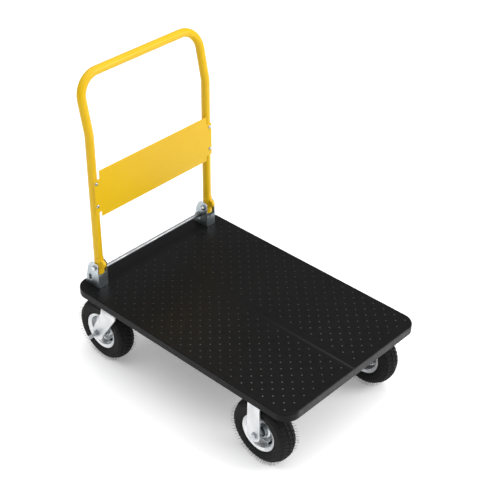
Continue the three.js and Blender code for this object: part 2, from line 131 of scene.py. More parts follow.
def dressed(tree, shader, colour, roughness, *layers):
    """Gives the shader its colour, its roughness and layers of relief: (height pattern, depth in metres)."""
    tree.links.new(colour, shader.inputs["Base Color"])
    tree.links.new(roughness, shader.inputs["Roughness"])
    normal = None
    for height, depth in layers:
        bump = add(tree, "ShaderNodeBump", {"Height": height, "Distance": depth, "Strength": 1.0})
        if normal:
            tree.links.new(normal, bump.inputs["Normal"])
        normal = bump.outputs[0]
    tree.links.new(normal, shader.inputs["Normal"])


def worn_edges(tree, radius, sharpness):
    """1 on outside edges and corners, where a coating thins, and 0 on flat faces."""
    rounded = add(tree, "ShaderNodeBevel", {"Radius": radius}, samples=4).outputs[0]
    true = add(tree, "ShaderNodeNewGeometry").outputs["Normal"]
    likeness = add(tree, "ShaderNodeVectorMath", {0: rounded, 1: true}, operation="DOT_PRODUCT")
    return ranged(tree, likeness.outputs["Value"], 1, 0, sharpness, 0.999)


def black_coat():
    """Semi-gloss black powder coat: orange peel, haze, dust, edges lightened partly as worn paint and partly
    as painted highlight, and the front skirt's flat face painted lighter grey as painted light.
    """
    material, tree, shader, place = new_finish("black_powder_coat", IOR=1.45, Specular_IOR_Level=0.13)
    cloud = grain(tree, place, 4, 4)
    dust = grain(tree, place, 60, 8)
    scuff = grain(tree, place, 14, 6, (9, 1, 1))
    # The edges are lightened partly as worn paint and partly as a painted highlight along the folds.
    edge = multiplied(tree, worn_edges(tree, 0.0012, 0.9), ranged(tree, dust, 0, 1, 0.45, 0.6))
    body = tinted(tree, ranged(tree, dust, 0, 1), (0.0034, 0.0034, 0.0035), (0.0058, 0.0058, 0.0060))
    worn_and_highlit_edges = tinted(tree, edge, body, WORN_AND_HIGHLIT_BLACK)
    spot = add(tree, "ShaderNodeSeparateXYZ", {0: place}).outputs
    # Painted light: the front skirt's flat face, corners left out, is painted lighter grey, patchy with the
    # dust pattern.
    ahead = worked(tree, "LESS_THAN", spot[1], deck_low.y + 0.0012)
    flat = worked(tree, "LESS_THAN", worked(tree, "ABSOLUTE", spot[0]), deck_high.x - DECK_CORNER)
    front_skirt_light_mask = multiplied(tree, multiplied(tree, ahead, flat), ranged(tree, dust, 0.5, 1))
    front = tinted(tree, front_skirt_light_mask, worn_and_highlit_edges, FRONT_SKIRT_PAINTED_LIGHT)
    off = worked(tree, "ABSOLUTE", worked(tree, "SUBTRACT", spot[0], CREASE_X))
    fade = ranged(tree, spot[1], 0.8, 0, deck_low.y + 0.05, DECK_MIDDLE.y - 0.05)
    ridge = multiplied(tree, ranged(tree, off, 1, 0, 0.0012, 0.0045), fade)
    creased = tinted(tree, ridge, front, CREASE_GREY)
    haze = worked(tree, "ADD", ranged(tree, cloud, 0.3, 0.42), ranged(tree, scuff, 0, 0.1, 0.5, 0.75))
    peel = grain(tree, place, 420, 2)
    dressed(tree, shader, creased, haze, (peel, 0.00006), (scuff, 0.00005), (cloud, 0.0012))
    return material


def rounded_ring(bm, inset, z, steps=10):
    """One turn of vertices round the deck, `inset` in from its outside."""
    half = (deck_high - deck_low) / 2
    radius = DECK_CORNER - inset
    ring = []
    for quarter, (side_x, side_y) in enumerate(((1, 1), (-1, 1), (-1, -1), (1, -1))):
        for step in range(steps + 1):
            angle = math.radians(90 * (quarter + step / steps))
            x = side_x * (half.x - DECK_CORNER) + radius * math.cos(angle)
            y = side_y * (half.y - DECK_CORNER) + radius * math.sin(angle)
            ring.append(bm.verts.new((DECK_MIDDLE.x + x, DECK_MIDDLE.y + y, z)))
    return ring


def strip(bm, first, second):
    """Faces between two rings of vertices."""
    for i in range(len(first)):
        j = (i + 1) % len(first)
        bm.faces.new((first[i], first[j], second[j], second[i]))


def skinned(bm, rings):
    """Faces between each ring of vertices and the next, and one across each end."""
    for first, second in zip(rings, rings[1:]):
        strip(bm, first, second)
    bm.faces.new(rings[0])
    bm.faces.new(rings[-1])


def smooth_step(value, start, end):
    share = min(1, max(0, (value - start) / (end - start)))
    return share * share * (3 - 2 * share)


def sheet_relief(x, y):
    """How far the top stands off flat: a crease that fades to the rear, and a slight sag beside it."""
    fade = smooth_step(-y, 0.13, 0.38)
    off = abs(x - CREASE_X)
    crease = max(0, 1 - off / CREASE_HALF_WIDTH)
    reach = (deck_high.x - 0.02) - abs(CREASE_X)
    sag = math.sin(math.pi * min(1, off / reach))
    edge = smooth_step(deck_high.y - y, 0.01, 0.12) * smooth_step(y - deck_low.y, 0.006, 0.08)
    return CREASE_HEIGHT * fade * crease * smooth_step(y - deck_low.y, 0.004, 0.02) - PANEL_SAG * sag * edge


def finished(name, bm, material, edge=0, steps=2, sharp=40):
    """Closes the mesh, breaks its sharp edges by `edge`, shades it and gives it its finish."""
    bmesh.ops.remove_doubles(bm, verts=bm.verts, dist=1e-6)
    bmesh.ops.dissolve_degenerate(bm, dist=1e-7, edges=bm.edges)
    bmesh.ops.recalc_face_normals(bm, faces=bm.faces)
    if edge:
        keen = [e for e in bm.edges if e.is_manifold and e.calc_face_angle(0) > math.radians(sharp)]
        shape = {"segments": steps, "profile": 0.5, "affect": "EDGES", "clamp_overlap": True}
        bmesh.ops.bevel(bm, geom=keen, offset=edge, **shape)
    mesh = bpy.data.meshes.new(name)
    bm.to_mesh(mesh)
    bm.free()
    return shown(name, mesh, material, sharp)


def shown(name, mesh, material, sharp=40):
    """Puts a finished mesh in the scene."""
    mesh.shade_smooth()
    mesh.set_sharp_from_angle(angle=math.radians(sharp))
    mesh.materials.clear()
    mesh.materials.append(material)
    piece = bpy.data.objects.new(name, mesh)
    bpy.context.scene.collection.objects.link(piece)
    piece.modifiers.new("flat_faces_flat", "WEIGHTED_NORMAL").keep_sharp = True
    return piece


def fix(piece, body, slot, *nodes):
    """Fixes a finished piece to its body and hides the plain nodes that it stands for. `slot` is not used."""
    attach(piece, body)
    if nodes:
        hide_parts(*nodes)


def deck_sheet(material):
    bm = bmesh.new()
    low, high = deck_low.z, deck_high.z
    lip = 0.0004
    profile = [(DECK_SHEET, high - DECK_SHEET), (DECK_SHEET, low + lip), (DECK_SHEET - lip, low), (lip, low)]
    profile.append((0, low + lip))
    for step in range(7):
        angle = math.radians(90 * step / 6)
        profile.append((DECK_FOLD * (1 - math.cos(angle)), high - DECK_FOLD * (1 - math.sin(angle))))
    rings = [rounded_ring(bm, inset, z) for inset, z in profile]
    skinned(bm, rings)
    columns = [CREASE_X + side * off for side in (-1, 1) for off in (0.002, 0.004, 0.006, 0.012, 0.04)]
    columns += [CREASE_X] + [0.06 * step for step in (-4, -3, -2, 2, 3, 4)]
    rows = [deck_low.y + off for off in (0.006, 0.01, 0.02, 0.04, 0.08)]
    rows += [deck_low.y + 0.12 + 0.06 * step for step in range(13)]
    cuts = [((x, 0, 0), (1, 0, 0)) for x in columns] + [((0, y, 0), (0, 1, 0)) for y in rows]
    for place, direction in cuts:
        everything = [*bm.verts, *bm.edges, *bm.faces]
        bmesh.ops.bisect_plane(bm, geom=everything, plane_co=place, plane_no=direction, dist=1e-6)
    for vert in bm.verts:
        if vert.co.z > high - 1.5 * DECK_SHEET:
            vert.co.z += sheet_relief(vert.co.x, vert.co.y)
    return finished("deck_sheet", bm, material, sharp=32)


coat_black = black_coat()
fix(deck_sheet(coat_black), "chassis", "deck_paint", "deck_pan")


# The welds: each rounded corner is a separate strip let in between the skirts, so a dressed seam
# stands at both its ends.
SEAM_WIDTH = 0.0022
SEAM_PROUD = 0.0003
SEAM_SUNK = 0.00035


def corner_seams(material):
    bm = bmesh.new()
    half = (deck_high - deck_low) / 2
    for side_x in (-1, 1):
        for side_y in (-1, 1):
            ends = ((DECK_CORNER, SEAM_SUNK, (1, 0, 0)), (SEAM_SUNK, DECK_CORNER, (0, 1, 0)))
            for in_x, in_y, along in ends:
                off = Vector((side_x * (half.x - in_x), side_y * (half.y - in_y), 0))
                bead(bm, Vector((DECK_MIDDLE.x, DECK_MIDDLE.y, 0)) + off, Vector(along))
    return finished("corner_seams", bm, material, sharp=60)


def bead(bm, place, along):
    """One upright weld bead, an oval section from the skirt's lip up to the fold."""
    across = Vector((along.y, along.x, 0))
    foot, top = deck_low.z, deck_high.z - DECK_FOLD
    rings = []
    for z, share in ((foot + 0.0006, 0.4), (foot + 0.002, 1), (top - 0.001, 1), (top, 0.4)):
        ring = []
        for step in range(8):
            angle = 2 * math.pi * step / 8
            off = along * (SEAM_WIDTH / 2 * share * math.cos(angle))
            off += across * (SEAM_PROUD * share * math.sin(angle))
            ring.append(bm.verts.new(place + off + Vector((0, 0, z))))
        rings.append(ring)
    skinned(bm, rings)


fix(corner_seams(coat_black), "chassis", "deck_paint")


# The grip pips: small round domes pressed up through the sheet on a staggered lattice, a little
# further apart over the middle line.
PIP_PITCH = 0.041
PIP_COLUMNS = 7
PIP_ROWS = 20
PIP_SIDE = 0.025
PIP_FRONT = 0.032
PIP_RADIUS = 0.0025
PIP_HEIGHT = 0.0014


def new_tree(name, inputs):
    """A geometry node tree with named inputs. Returns it, its input node and a function that ends it."""
    tree = bpy.data.node_groups.new(name, "GeometryNodeTree")
    for title, kind in inputs:
        tree.interface.new_socket(name=title, in_out="INPUT", socket_type="NodeSocket" + kind)
    tree.interface.new_socket(name="Result", in_out="OUTPUT", socket_type="NodeSocketGeometry")
    given = tree.nodes.new("NodeGroupInput").outputs

    def end(instances):
        """Makes the copies real, smooths them, gives them their finish and hands them out."""
        real = add(tree, "GeometryNodeRealizeInstances", {0: instances}).outputs[0]
        smooth = add(tree, "GeometryNodeSetShadeSmooth", {0: real}).outputs[0]
        values = {"Geometry": smooth, "Material": given["Finish"]}
        done = add(tree, "GeometryNodeSetMaterial", values).outputs[0]
        add(tree, "NodeGroupOutput", {0: done})

    return tree, given, end


def grown(name, tree, values, places=()):
    """Runs a tree on a piece, keeps the plain mesh that it gives and takes the tree off again."""
    mesh = bpy.data.meshes.new(name)
    mesh.from_pydata([tuple(place) for place in places], [], [])
    piece = bpy.data.objects.new(name, mesh)
    bpy.context.scene.collection.objects.link(piece)
    modifier = piece.modifiers.new(tree.name, "NODES")
    modifier.node_group = tree
    for item in tree.interface.items_tree:
        if item.in_out == "INPUT" and item.name in values:
            modifier[item.identifier] = values[item.name]
    graph = bpy.context.evaluated_depsgraph_get()
    made = bpy.data.meshes.new_from_object(piece.evaluated_get(graph))
    piece.modifiers.remove(modifier)
    piece.data = made
    return piece


def pip_lattice():
    inputs = [("Pitch", "Float"), ("Columns", "Int"), ("Rows", "Int"), ("Field centre", "Vector")]
    inputs += [("Pip radius", "Float"), ("Pip height", "Float"), ("Finish", "Material")]
    tree, given, end = new_tree("pip_lattice", inputs)

    def grid(fewer):
        """One of the two grids of the lattice; the second has one column and one row fewer."""
        sizes = {}
        for axis, count in (("X", "Columns"), ("Y", "Rows")):
            along = worked(tree, "SUBTRACT", given[count], fewer)
            gaps = worked(tree, "SUBTRACT", along, 1.0)
            sizes["Size " + axis] = multiplied(tree, gaps, given["Pitch"])
            sizes["Vertices " + axis] = along
        return add(tree, "GeometryNodeMeshGrid", sizes).outputs[0]

    lattice = add(tree, "GeometryNodeJoinGeometry").inputs[0]
    for fewer in (0, 1):
        tree.links.new(grid(fewer), lattice)
    shifted = {"Geometry": lattice.node.outputs[0], "Translation": given["Field centre"]}
    right = add(tree, "GeometryNodeTransform", shifted).outputs[0]
    left = add(tree, "GeometryNodeTransform", {"Geometry": right, "Scale": (-1, 1, 1)}).outputs[0]
    both = add(tree, "GeometryNodeJoinGeometry").inputs[0]
    for half in (left, right):
        tree.links.new(half, both)
    ball = add(tree, "GeometryNodeMeshUVSphere", {"Segments": 10, "Rings": 6, "Radius": 1.0}).outputs[0]
    size = {"X": given["Pip radius"], "Y": given["Pip radius"], "Z": given["Pip height"]}
    size = add(tree, "ShaderNodeCombineXYZ", size).outputs[0]
    dome = add(tree, "GeometryNodeTransform", {"Geometry": ball, "Scale": size}).outputs[0]
    values = {"Points": both.node.outputs[0], "Instance": dome}
    end(add(tree, "GeometryNodeInstanceOnPoints", values).outputs[0])
    return tree


def worn_and_highlit_pip_coat():
    """The black coat on the tops of the pips, painted lighter grey: partly paint rubbed off where loads slide
    on, partly a painted highlight that is strongest at the front left and fades towards the rear.
    """
    material, tree, shader, place = new_finish("pip_tops_worn_and_highlit", Specular_IOR_Level=0.4)
    patch = grain(tree, place, 5, 3)
    speck = grain(tree, place, 300, 3)
    spot = add(tree, "ShaderNodeSeparateXYZ", {0: place}).outputs
    # Painted highlight: the tops are lightest at the front left and fade towards the rear.
    front_highlight_falloff = worked(tree, "MULTIPLY_ADD", spot[0], 0.5, spot[1])
    front_highlight_falloff = ranged(tree, front_highlight_falloff, 1, 0.08, deck_low.y - 0.08, DECK_MIDDLE.y + 0.08)
    rubbed = multiplied(tree, front_highlight_falloff, ranged(tree, patch, 0.3, 1, 0.38, 0.6))
    rubbed = multiplied(tree, rubbed, ranged(tree, speck, 0.7, 1))
    colour = tinted(tree, rubbed, (0.006, 0.006, 0.006), (0.115, 0.112, 0.105))
    dressed(tree, shader, colour, ranged(tree, speck, 0.25, 0.45), (speck, 0.00003))
    return material


pip_centre = Vector((0, 0, deck_high.z - PANEL_SAG / 2))
pip_centre.x = deck_high.x - PIP_SIDE - PIP_PITCH * (PIP_COLUMNS - 1) / 2
pip_centre.y = deck_low.y + PIP_FRONT + PIP_PITCH * (PIP_ROWS - 1) / 2
pips = grown("grip_pips", pip_lattice(), {
    "Pitch": PIP_PITCH, "Columns": PIP_COLUMNS, "Rows": PIP_ROWS, "Field centre": pip_centre,
    "Pip radius": PIP_RADIUS, "Pip height": PIP_HEIGHT, "Finish": worn_and_highlit_pip_coat(),
})
fix(pips, "chassis", "deck_paint")


# ---------- channels under the deck ----------
# Two crossmembers and two rails, 2.5 mm channels folded from strip, stitch welded to the underside
# and coated with the pan. The casters bolt up through the crossmembers' webs.
def refinished(node, material):
    """Gives a node that stays as it is its finish."""
    frame["nodes"][node].data.materials.clear()
    frame["nodes"][node].data.materials.append(material)


for node in ("front_crossmember", "rear_crossmember", "left_rail", "right_rail"):
    refinished(node, coat_black)


# ---------- caster plates and forks ----------
# Each fork is pressed from one 5 mm strip, bent down over the wheel and zinc plated. In front it is
# welded to its top plate; behind it turns under the plate on a ball race, held by the kingpin.
FORK_SHEET = 0.005
FORK_INSIDE = 0.076
FORK_FOOT_RADIUS = 0.025
FORK_SHOULDER = 0.028
FRONT_BEND = 0.020
REAR_BEND = 0.022
FRONT_CROWN = 0.046
REAR_CROWN = 0.064
CROWN_STEP = 0.008
FORK_EDGE = 0.0009
PLATE_EDGE = 0.0007
KINGPIN_HOLE = 0.0065
LAP = 0.0002
PLATE_SHEET = 0.005
PLATE_CORNER = 0.009
PLATE_BOLT_INSET = 0.011
ZINC_EDGE = (0.42, 0.42, 0.41)


def zinc_plate(name, colour, deep, rough=0.26, drawn=(1, 1, 14)):
    """Bright zinc plating: faint rolling marks, cloudy passivation and dull, slightly grey edges."""
    material, tree, shader, place = new_finish(name, Metallic=1.0)
    cloud = grain(tree, place, 24, 6)
    rolled = grain(tree, place, 55, 5, drawn)
    speck = grain(tree, place, 420, 3)
    colours = tinted(tree, ranged(tree, cloud, 0, 1, 0.35, 0.65), colour, deep)
    edge = multiplied(tree, worn_edges(tree, 0.0008, 0.92), ranged(tree, speck, 0, 0.7))
    dull = tinted(tree, edge, colours, ZINC_EDGE)
    varied = ranged(tree, cloud, rough - 0.05, rough + 0.1)
    varied = worked(tree, "ADD", varied, ranged(tree, rolled, 0, 0.08))
    dressed(tree, shader, dull, varied, (rolled, 0.00004), (speck, 0.00002))
    return material


zinc_bright = zinc_plate("zinc_bright", (0.76, 0.77, 0.78), (0.64, 0.655, 0.67), 0.4)
zinc_bracket = zinc_plate("zinc_bracket", (0.52, 0.57, 0.59), (0.38, 0.43, 0.46), 0.28)
zinc_bolt = zinc_plate("zinc_bolt", (0.62, 0.64, 0.66), (0.46, 0.49, 0.53), 0.24, (1, 1, 1))


def caster_fork(name, foot_y, crown_y, crown_width, top_z, axle, bend, material):
    """Follows the strip from one foot up, over the crown and down to the other foot."""
    bm = bmesh.new()
    reach = FORK_INSIDE / 2 + FORK_SHEET / 2
    shoulder = top_z - FORK_SHOULDER
    middle_top = top_z - FORK_SHEET / 2

    def width_at(z):
        if z < axle.z:
            half = math.sqrt(max(0, FORK_FOOT_RADIUS**2 - (axle.z - z) ** 2))
            return foot_y - half, foot_y + half
        share = min(1, (z - axle.z) / (shoulder - axle.z))
        half = FORK_FOOT_RADIUS + (crown_width / 2 - FORK_FOOT_RADIUS) * share
        middle = foot_y + (crown_y - foot_y) * share
        return middle - half, middle + half

    stations = []
    for step in range(9):
        z = axle.z - FORK_FOOT_RADIUS * math.cos(math.radians(90 * step / 8))
        stations.append((reach, z, 1, 0))
    for step in range(1, 7):
        stations.append((reach, axle.z + (shoulder - axle.z) * step / 6, 1, 0))
    for step in range(7):
        angle = math.radians(90 * step / 6)
        x = reach - bend + bend * math.cos(angle)
        z = middle_top - bend + bend * math.sin(angle)
        stations.append((x, z, math.cos(angle), math.sin(angle)))
    stations.append((CROWN_STEP, middle_top, 0, 1))
    stations += [(-x, z, -out, up) for x, z, out, up in reversed(stations)]
    rings = []
    for x, z, out, up in stations:
        near, far = width_at(z)
        ring = []
        for side, y in ((-1, near), (-1, far), (1, far), (1, near)):
            off = side * FORK_SHEET / 2
            ring.append(bm.verts.new((axle.x + x + out * off, y, z + up * off)))
        rings.append(ring)
    skinned(bm, rings)
    return finished(name, bm, material, edge=FORK_EDGE, sharp=50)


def pressed(bm, outlines, thickness, edge, place, turn=Matrix()):
    """A flat blank with its holes, from outlines in its own X and Y, edges broken, turned and placed."""
    curve = bpy.data.curves.new("blank", "CURVE")
    curve.dimensions = "2D"
    curve.fill_mode = "BOTH"
    curve.extrude = thickness / 2 - edge
    curve.bevel_depth = edge
    curve.bevel_resolution = 1
    curve.offset = -edge
    for outline in outlines:
        spline = curve.splines.new("POLY")
        spline.points.add(len(outline) - 1)
        for point, (x, y) in zip(spline.points, outline):
            point.co = (x, y, 0, 1)
        spline.use_cyclic_u = True
    blank = bpy.data.objects.new("blank", curve)
    bpy.context.scene.collection.objects.link(blank)
    mesh = bpy.data.meshes.new_from_object(blank.evaluated_get(bpy.context.evaluated_depsgraph_get()))
    bpy.data.objects.remove(blank)
    mesh.transform(Matrix.Translation(place) @ turn)
    bm.from_mesh(mesh)
    bpy.data.meshes.remove(mesh)


def arc(centre, radius, start, end, steps):
    """Points along an arc, from one angle in degrees to another."""
    angles = [math.radians(start + (end - start) * step / steps) for step in range(steps + 1)]
    return [(centre[0] + radius * math.cos(a), centre[1] + radius * math.sin(a)) for a in angles]


def rounded_box(low, high, radius, steps=5):
    """The outline of a rectangle with rounded corners."""
    corners = [(high[0] - radius, high[1] - radius, 0), (low[0] + radius, high[1] - radius, 90)]
    corners += [(low[0] + radius, low[1] + radius, 180), (high[0] - radius, low[1] + radius, 270)]
    return [point for x, y, start in corners for point in arc((x, y), radius, start, start + 90, steps)]


def top_plate(name, centre, size, kingpin, material):
    """A plate with rounded corners, and a hole for the kingpin where the caster swivels."""
    bm = bmesh.new()
    half = size / 2
    outlines = [rounded_box((-half.x, -half.y), (half.x, half.y), PLATE_CORNER)]
    if kingpin:
        outlines.append(arc((0, 0), KINGPIN_HOLE, 0, 345, 23))
    pressed(bm, outlines, PLATE_SHEET, PLATE_EDGE, centre + Vector((0, 0, PLATE_SHEET / 2)))
    return finished(name, bm, material)


axles = {}
plates = {}
for side in SIDES:
    for end in ("front", "rear"):
        low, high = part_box(f"{end}_{side}_rim_outer")
        inner_low, inner_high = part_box(f"{end}_{side}_rim_inner")
        axles[end, side] = (Vector(map(min, low, inner_low)) + Vector(map(max, high, inner_high))) / 2
rear_plate_low, rear_plate_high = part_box("rear_left_top_plate")
plate_size = rear_plate_high - rear_plate_low
for (end, side), axle in axles.items():
    fork_node = f"{end}_{side}_fork"
    low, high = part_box(fork_node)
    if end == "front":
        body, stands_for = "chassis", []
        plate_name = f"front_{side}_plate"
        centre = Vector((axle.x, (low.y + high.y) / 2, high.z - PLATE_SHEET))
        shape = (centre.y, centre.y, FRONT_CROWN, centre.z + LAP, axle, FRONT_BEND)
    else:
        body, stands_for = f"rear_{side}_swivel", [f"rear_{side}_top_plate"]
        plate_name = f"rear_{side}_top_plate_sheet"
        plate_low, plate_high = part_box(*stands_for)
        centre = (plate_low + plate_high) / 2
        centre.z = plate_low.z
        shape = (axle.y, centre.y, REAR_CROWN, high.z, axle, REAR_BEND)
    plates[end, side] = centre
    fix(caster_fork(f"{fork_node}_strip", *shape, zinc_bright), body, "bracket_zinc", fork_node)
    plate = top_plate(plate_name, centre, plate_size, end == "rear", zinc_bright)
    fix(plate, "chassis", "bracket_zinc", *stands_for)


# ---------- caster bolts ----------
# Four M8 hexagon bolts hold each caster, heads below its plate with a spring washer, each left at
# whatever angle it tightened to.
BOLT_SEED = 11


def turn_profile(bm, profile, sides, centre, axis="x", ring=False, way=1):
    """Turns steps of (radius, distance along the axis, six-sided or not) about X or Z, `way` 1 or -1
    along it. A profile that is a ring closes on itself; any other starts and ends on the axis."""
    rounds = []
    for radius, along, *six in profile:
        along *= way
        loop = []
        for step in range(sides if radius > 1e-6 else 1):
            angle = 2 * math.pi * step / sides
            reach = radius
            if six:
                off_flat = math.radians((math.degrees(angle) % 60) - 30)
                reach = min(radius, six[0] * math.cos(math.pi / 6) / math.cos(off_flat))
            u, v = reach * math.cos(angle), reach * math.sin(angle)
            offset = (along, u, v) if axis == "x" else (u, v, along)
            loop.append(bm.verts.new(centre + Vector(offset)))
        rounds.append(loop)
    pairs = list(zip(rounds, rounds[1:]))
    if ring:
        pairs.append((rounds[-1], rounds[0]))
    for first, second in pairs:
        if len(first) == len(second):
            strip(bm, first, second)
            continue
        tip, loop = (first, second) if len(first) == 1 else (second, first)
        for i in range(sides):
            bm.faces.new((tip[0], loop[i], loop[(i + 1) % sides]))


def turned_piece(name, profile, sides, centre, material, sharp=40, **how):
    """A whole piece turned from one profile."""
    bm = bmesh.new()
    turn_profile(bm, profile, sides, centre, **how)
    return finished(name, bm, material, sharp=sharp)


def hexagon_head(across, height, start=0.0, up=1):
    """Profile steps of a hexagon head or nut with a turned chamfer. `across` is half its corners' span."""
    chamfer = across * 0.13
    return [
        (across, start, across), (across, start + up * (height - chamfer), across),
        (across * 0.88, start + up * height, across),
    ]


def bolts_on_places():
    """A bolt on every place, each spun about its own length by a seeded random angle."""
    inputs = [("Places", "Geometry"), ("Bolt", "Object"), ("Seed", "Int")]
    inputs += [("Facing", "Vector"), ("Finish", "Material")]
    tree, given, end = new_tree("bolts_on_places", inputs)
    bolt = add(tree, "GeometryNodeObjectInfo", {"Object": given["Bolt"]}).outputs["Geometry"]
    spin = add(tree, "FunctionNodeRandomValue", {"Seed": given["Seed"]}, data_type="FLOAT")
    spin.inputs[2].default_value = 0
    spin.inputs[3].default_value = 2 * math.pi
    angle = add(tree, "ShaderNodeCombineXYZ", {"Z": spin.outputs[1]}).outputs[0]
    spun = add(tree, "FunctionNodeEulerToRotation", {0: angle}).outputs[0]
    facing = add(tree, "FunctionNodeEulerToRotation", {0: given["Facing"]}).outputs[0]
    turn = add(tree, "FunctionNodeRotateRotation", {0: spun, 1: facing}, rotation_space="GLOBAL").outputs[0]
    values = {"Points": given["Places"], "Instance": bolt, "Rotation": turn}
    end(add(tree, "GeometryNodeInstanceOnPoints", values).outputs[0])
    return tree


def set_out(name, tree, bolt, places, material, facing=(0, 0, 0)):
    """Sets copies of one bolt, whose length is along Z, out on its places and takes the pattern away."""
    piece = grown(name, tree, {"Bolt": bolt, "Seed": BOLT_SEED, "Facing": facing, "Finish": material}, places)
    bpy.data.objects.remove(bolt)
    return piece


bolt_tree = bolts_on_places()
plate_bolts = []
for centre in plates.values():
    for side_x in (-1, 1):
        for side_y in (-1, 1):
            x = side_x * (plate_size.x / 2 - PLATE_BOLT_INSET)
            y = side_y * (plate_size.y / 2 - PLATE_BOLT_INSET)
            plate_bolts.append((centre.x + x, centre.y + y, centre.z))
bm = bmesh.new()
profile = [(0, 0.0005), (0.0062, 0.0005), (0.0062, -0.0009), (0.0058, -0.0011)]
profile += hexagon_head(0.0068, 0.0041, -0.0011, -1) + [(0, -0.0052)]
turn_profile(bm, profile, 24, Vector())
upright = Matrix.Rotation(math.radians(-90), 3, "Y")
bmesh.ops.rotate(bm, verts=bm.verts, cent=(0, 0, 0), matrix=upright)
pattern = finished("caster_bolt_pattern", bm, zinc_bolt)
fix(set_out("caster_bolts", bolt_tree, pattern, plate_bolts, zinc_bolt), "chassis", "fastener_zinc")


# ---------- swivel races and kingpins ----------
# Two pressed cups with a row of 18 balls between them under each rear plate, clamped by a kingpin
# with its nut and washer under the fork's crown.
BALL_COUNT = 18
BALL_RADIUS = 0.0019


def ring_of_pieces():
    """Copies of one piece round a circle. The piece's own X points outwards and its Z along the axis."""
    inputs = [("Piece", "Object"), ("Count", "Int"), ("Radius", "Float"), ("Start", "Float")]
    inputs += [("Scatter", "Float"), ("Seed", "Int"), ("Turn", "Vector"), ("Centre", "Vector")]
    inputs.append(("Finish", "Material"))
    tree, given, end = new_tree("ring_of_pieces", inputs)
    piece = add(tree, "GeometryNodeObjectInfo", {"Object": given["Piece"]}).outputs["Geometry"]
    sizes = {"Vertices": given["Count"], "Radius": given["Radius"]}
    circle = add(tree, "GeometryNodeMeshCircle", sizes).outputs[0]
    place = add(tree, "GeometryNodeInputPosition").outputs[0]
    facing = {"axis": "X", "pivot_axis": "Z"}
    outward = add(tree, "FunctionNodeAlignRotationToVector", {"Vector": place}, **facing).outputs[0]
    chance = add(tree, "FunctionNodeRandomValue", {"Seed": given["Seed"]}, data_type="FLOAT").outputs[1]
    size = worked(tree, "SUBTRACT", 1.0, multiplied(tree, chance, given["Scatter"]))
    values = {"Points": circle, "Instance": piece, "Rotation": outward, "Scale": size}
    copies = add(tree, "GeometryNodeInstanceOnPoints", values).outputs[0]
    start = add(tree, "ShaderNodeCombineXYZ", {"Z": given["Start"]}).outputs[0]
    begun = add(tree, "GeometryNodeTransform", {"Geometry": copies, "Rotation": start}).outputs[0]
    placed = {"Geometry": begun, "Translation": given["Centre"], "Rotation": given["Turn"]}
    end(add(tree, "GeometryNodeTransform", placed).outputs[0])
    return tree


ring_tree = ring_of_pieces()
for side in SIDES:
    node = f"rear_{side}_swivel_race"
    low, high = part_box(node)
    centre = (low + high) / 2
    centre.z = low.z
    height, radius = high.z - low.z, (high.x - low.x) / 2
    bm = bmesh.new()
    upper = [(0.011, height), (radius, height), (radius, height - 0.0012), (radius - 0.003, height - 0.0022)]
    upper += [(radius - 0.0045, height - 0.0026), (0.011, height - 0.0026)]
    lower = [(0.011, 0.0024), (radius - 0.0045, 0.0024), (radius - 0.003, 0.002), (radius - 0.0005, 0.0011)]
    lower += [(radius - 0.0005, 0), (0.011, 0)]
    for cup in (upper, lower):
        turn_profile(bm, cup, 48, centre, "z", True)
    fix(finished(f"{node}_cups", bm, zinc_bracket, edge=0.0003), "chassis", "bracket_zinc", node)
    bm = bmesh.new()
    bmesh.ops.create_icosphere(bm, subdivisions=2, radius=BALL_RADIUS)
    pattern = finished("ball_pattern", bm, zinc_bolt, sharp=90)
    balls = grown(f"rear_{side}_race_balls", ring_tree, {
        "Piece": pattern, "Count": BALL_COUNT, "Radius": radius - 0.0035, "Finish": zinc_bolt,
        "Centre": centre + Vector((0, 0, height / 2)),
    })
    bpy.data.objects.remove(pattern)
    fix(balls, "chassis", "fastener_zinc")

    node = f"rear_{side}_kingpin"
    low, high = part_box(node)
    centre = (low + high) / 2
    centre.z = 0
    profile = [(0, low.z), *hexagon_head(0.0098, 0.0048, low.z + 0.0048, -1)[::-1], (0.006, low.z + 0.0048)]
    profile += [(0.006, high.z - 0.0048), (0.0118, high.z - 0.0048), (0.0118, high.z - 0.0012)]
    profile += [(0.0095, high.z), (0, high.z)]
    kingpin = turned_piece(f"{node}_bolt", profile, 36, centre, zinc_bolt, axis="z")
    fix(kingpin, "chassis", "fastener_zinc", node)


# ---------- wheels ----------
# Pneumatic 2.50-4 wheels. Two zinc plated pressings bolt together round the hub and grip the beads of
# a moulded block-tread tyre with an inner tube in it. The mould's vents leave fine rubber whiskers.
CARCASS_RADIUS = 0.1036
RIM_SEAT = 0.0515
RIM_BOLTS = 4
RIM_BOLT_CIRCLE = 0.038
RIM_BOLT_START = math.radians(38)
TREAD_BLOCKS = 44
SHOULDER_LUGS = 44
WHISKERS = 72
WHISKER_RADIUS = 0.0006
WHISKER_SCATTER = 0.16
RING_SEED = 5
VALVE_CIRCLE = 0.044
VALVE_ANGLE = math.radians(205)


def tyre_rubber():
    """Matte moulded rubber, greyer with dust where it stands proud and out on the tread."""
    material, tree, shader, place = new_finish("tyre_rubber", IOR=1.5, Specular_IOR_Level=0.2)
    cloud = grain(tree, place, 16, 6)
    dust = grain(tree, place, 130, 7)
    skin = grain(tree, place, 900, 2)
    edge = multiplied(tree, worn_edges(tree, 0.0014, 0.8), ranged(tree, dust, 0.2, 1))
    body = tinted(tree, ranged(tree, cloud, 0, 1), (0.0048, 0.0048, 0.0050), (0.010, 0.0098, 0.0096))
    dusty = tinted(tree, multiplied(tree, edge, 0.6), body, (0.050, 0.049, 0.047))
    dressed(tree, shader, dusty, ranged(tree, dust, 0.6, 0.82), (skin, 0.00008), (dust, 0.00012))
    return material


def mirrored(half):
    """The other half of a profile, away from the wheel's middle, added to it."""
    return [*half, *[(radius, -along) for radius, along in reversed(half)]]


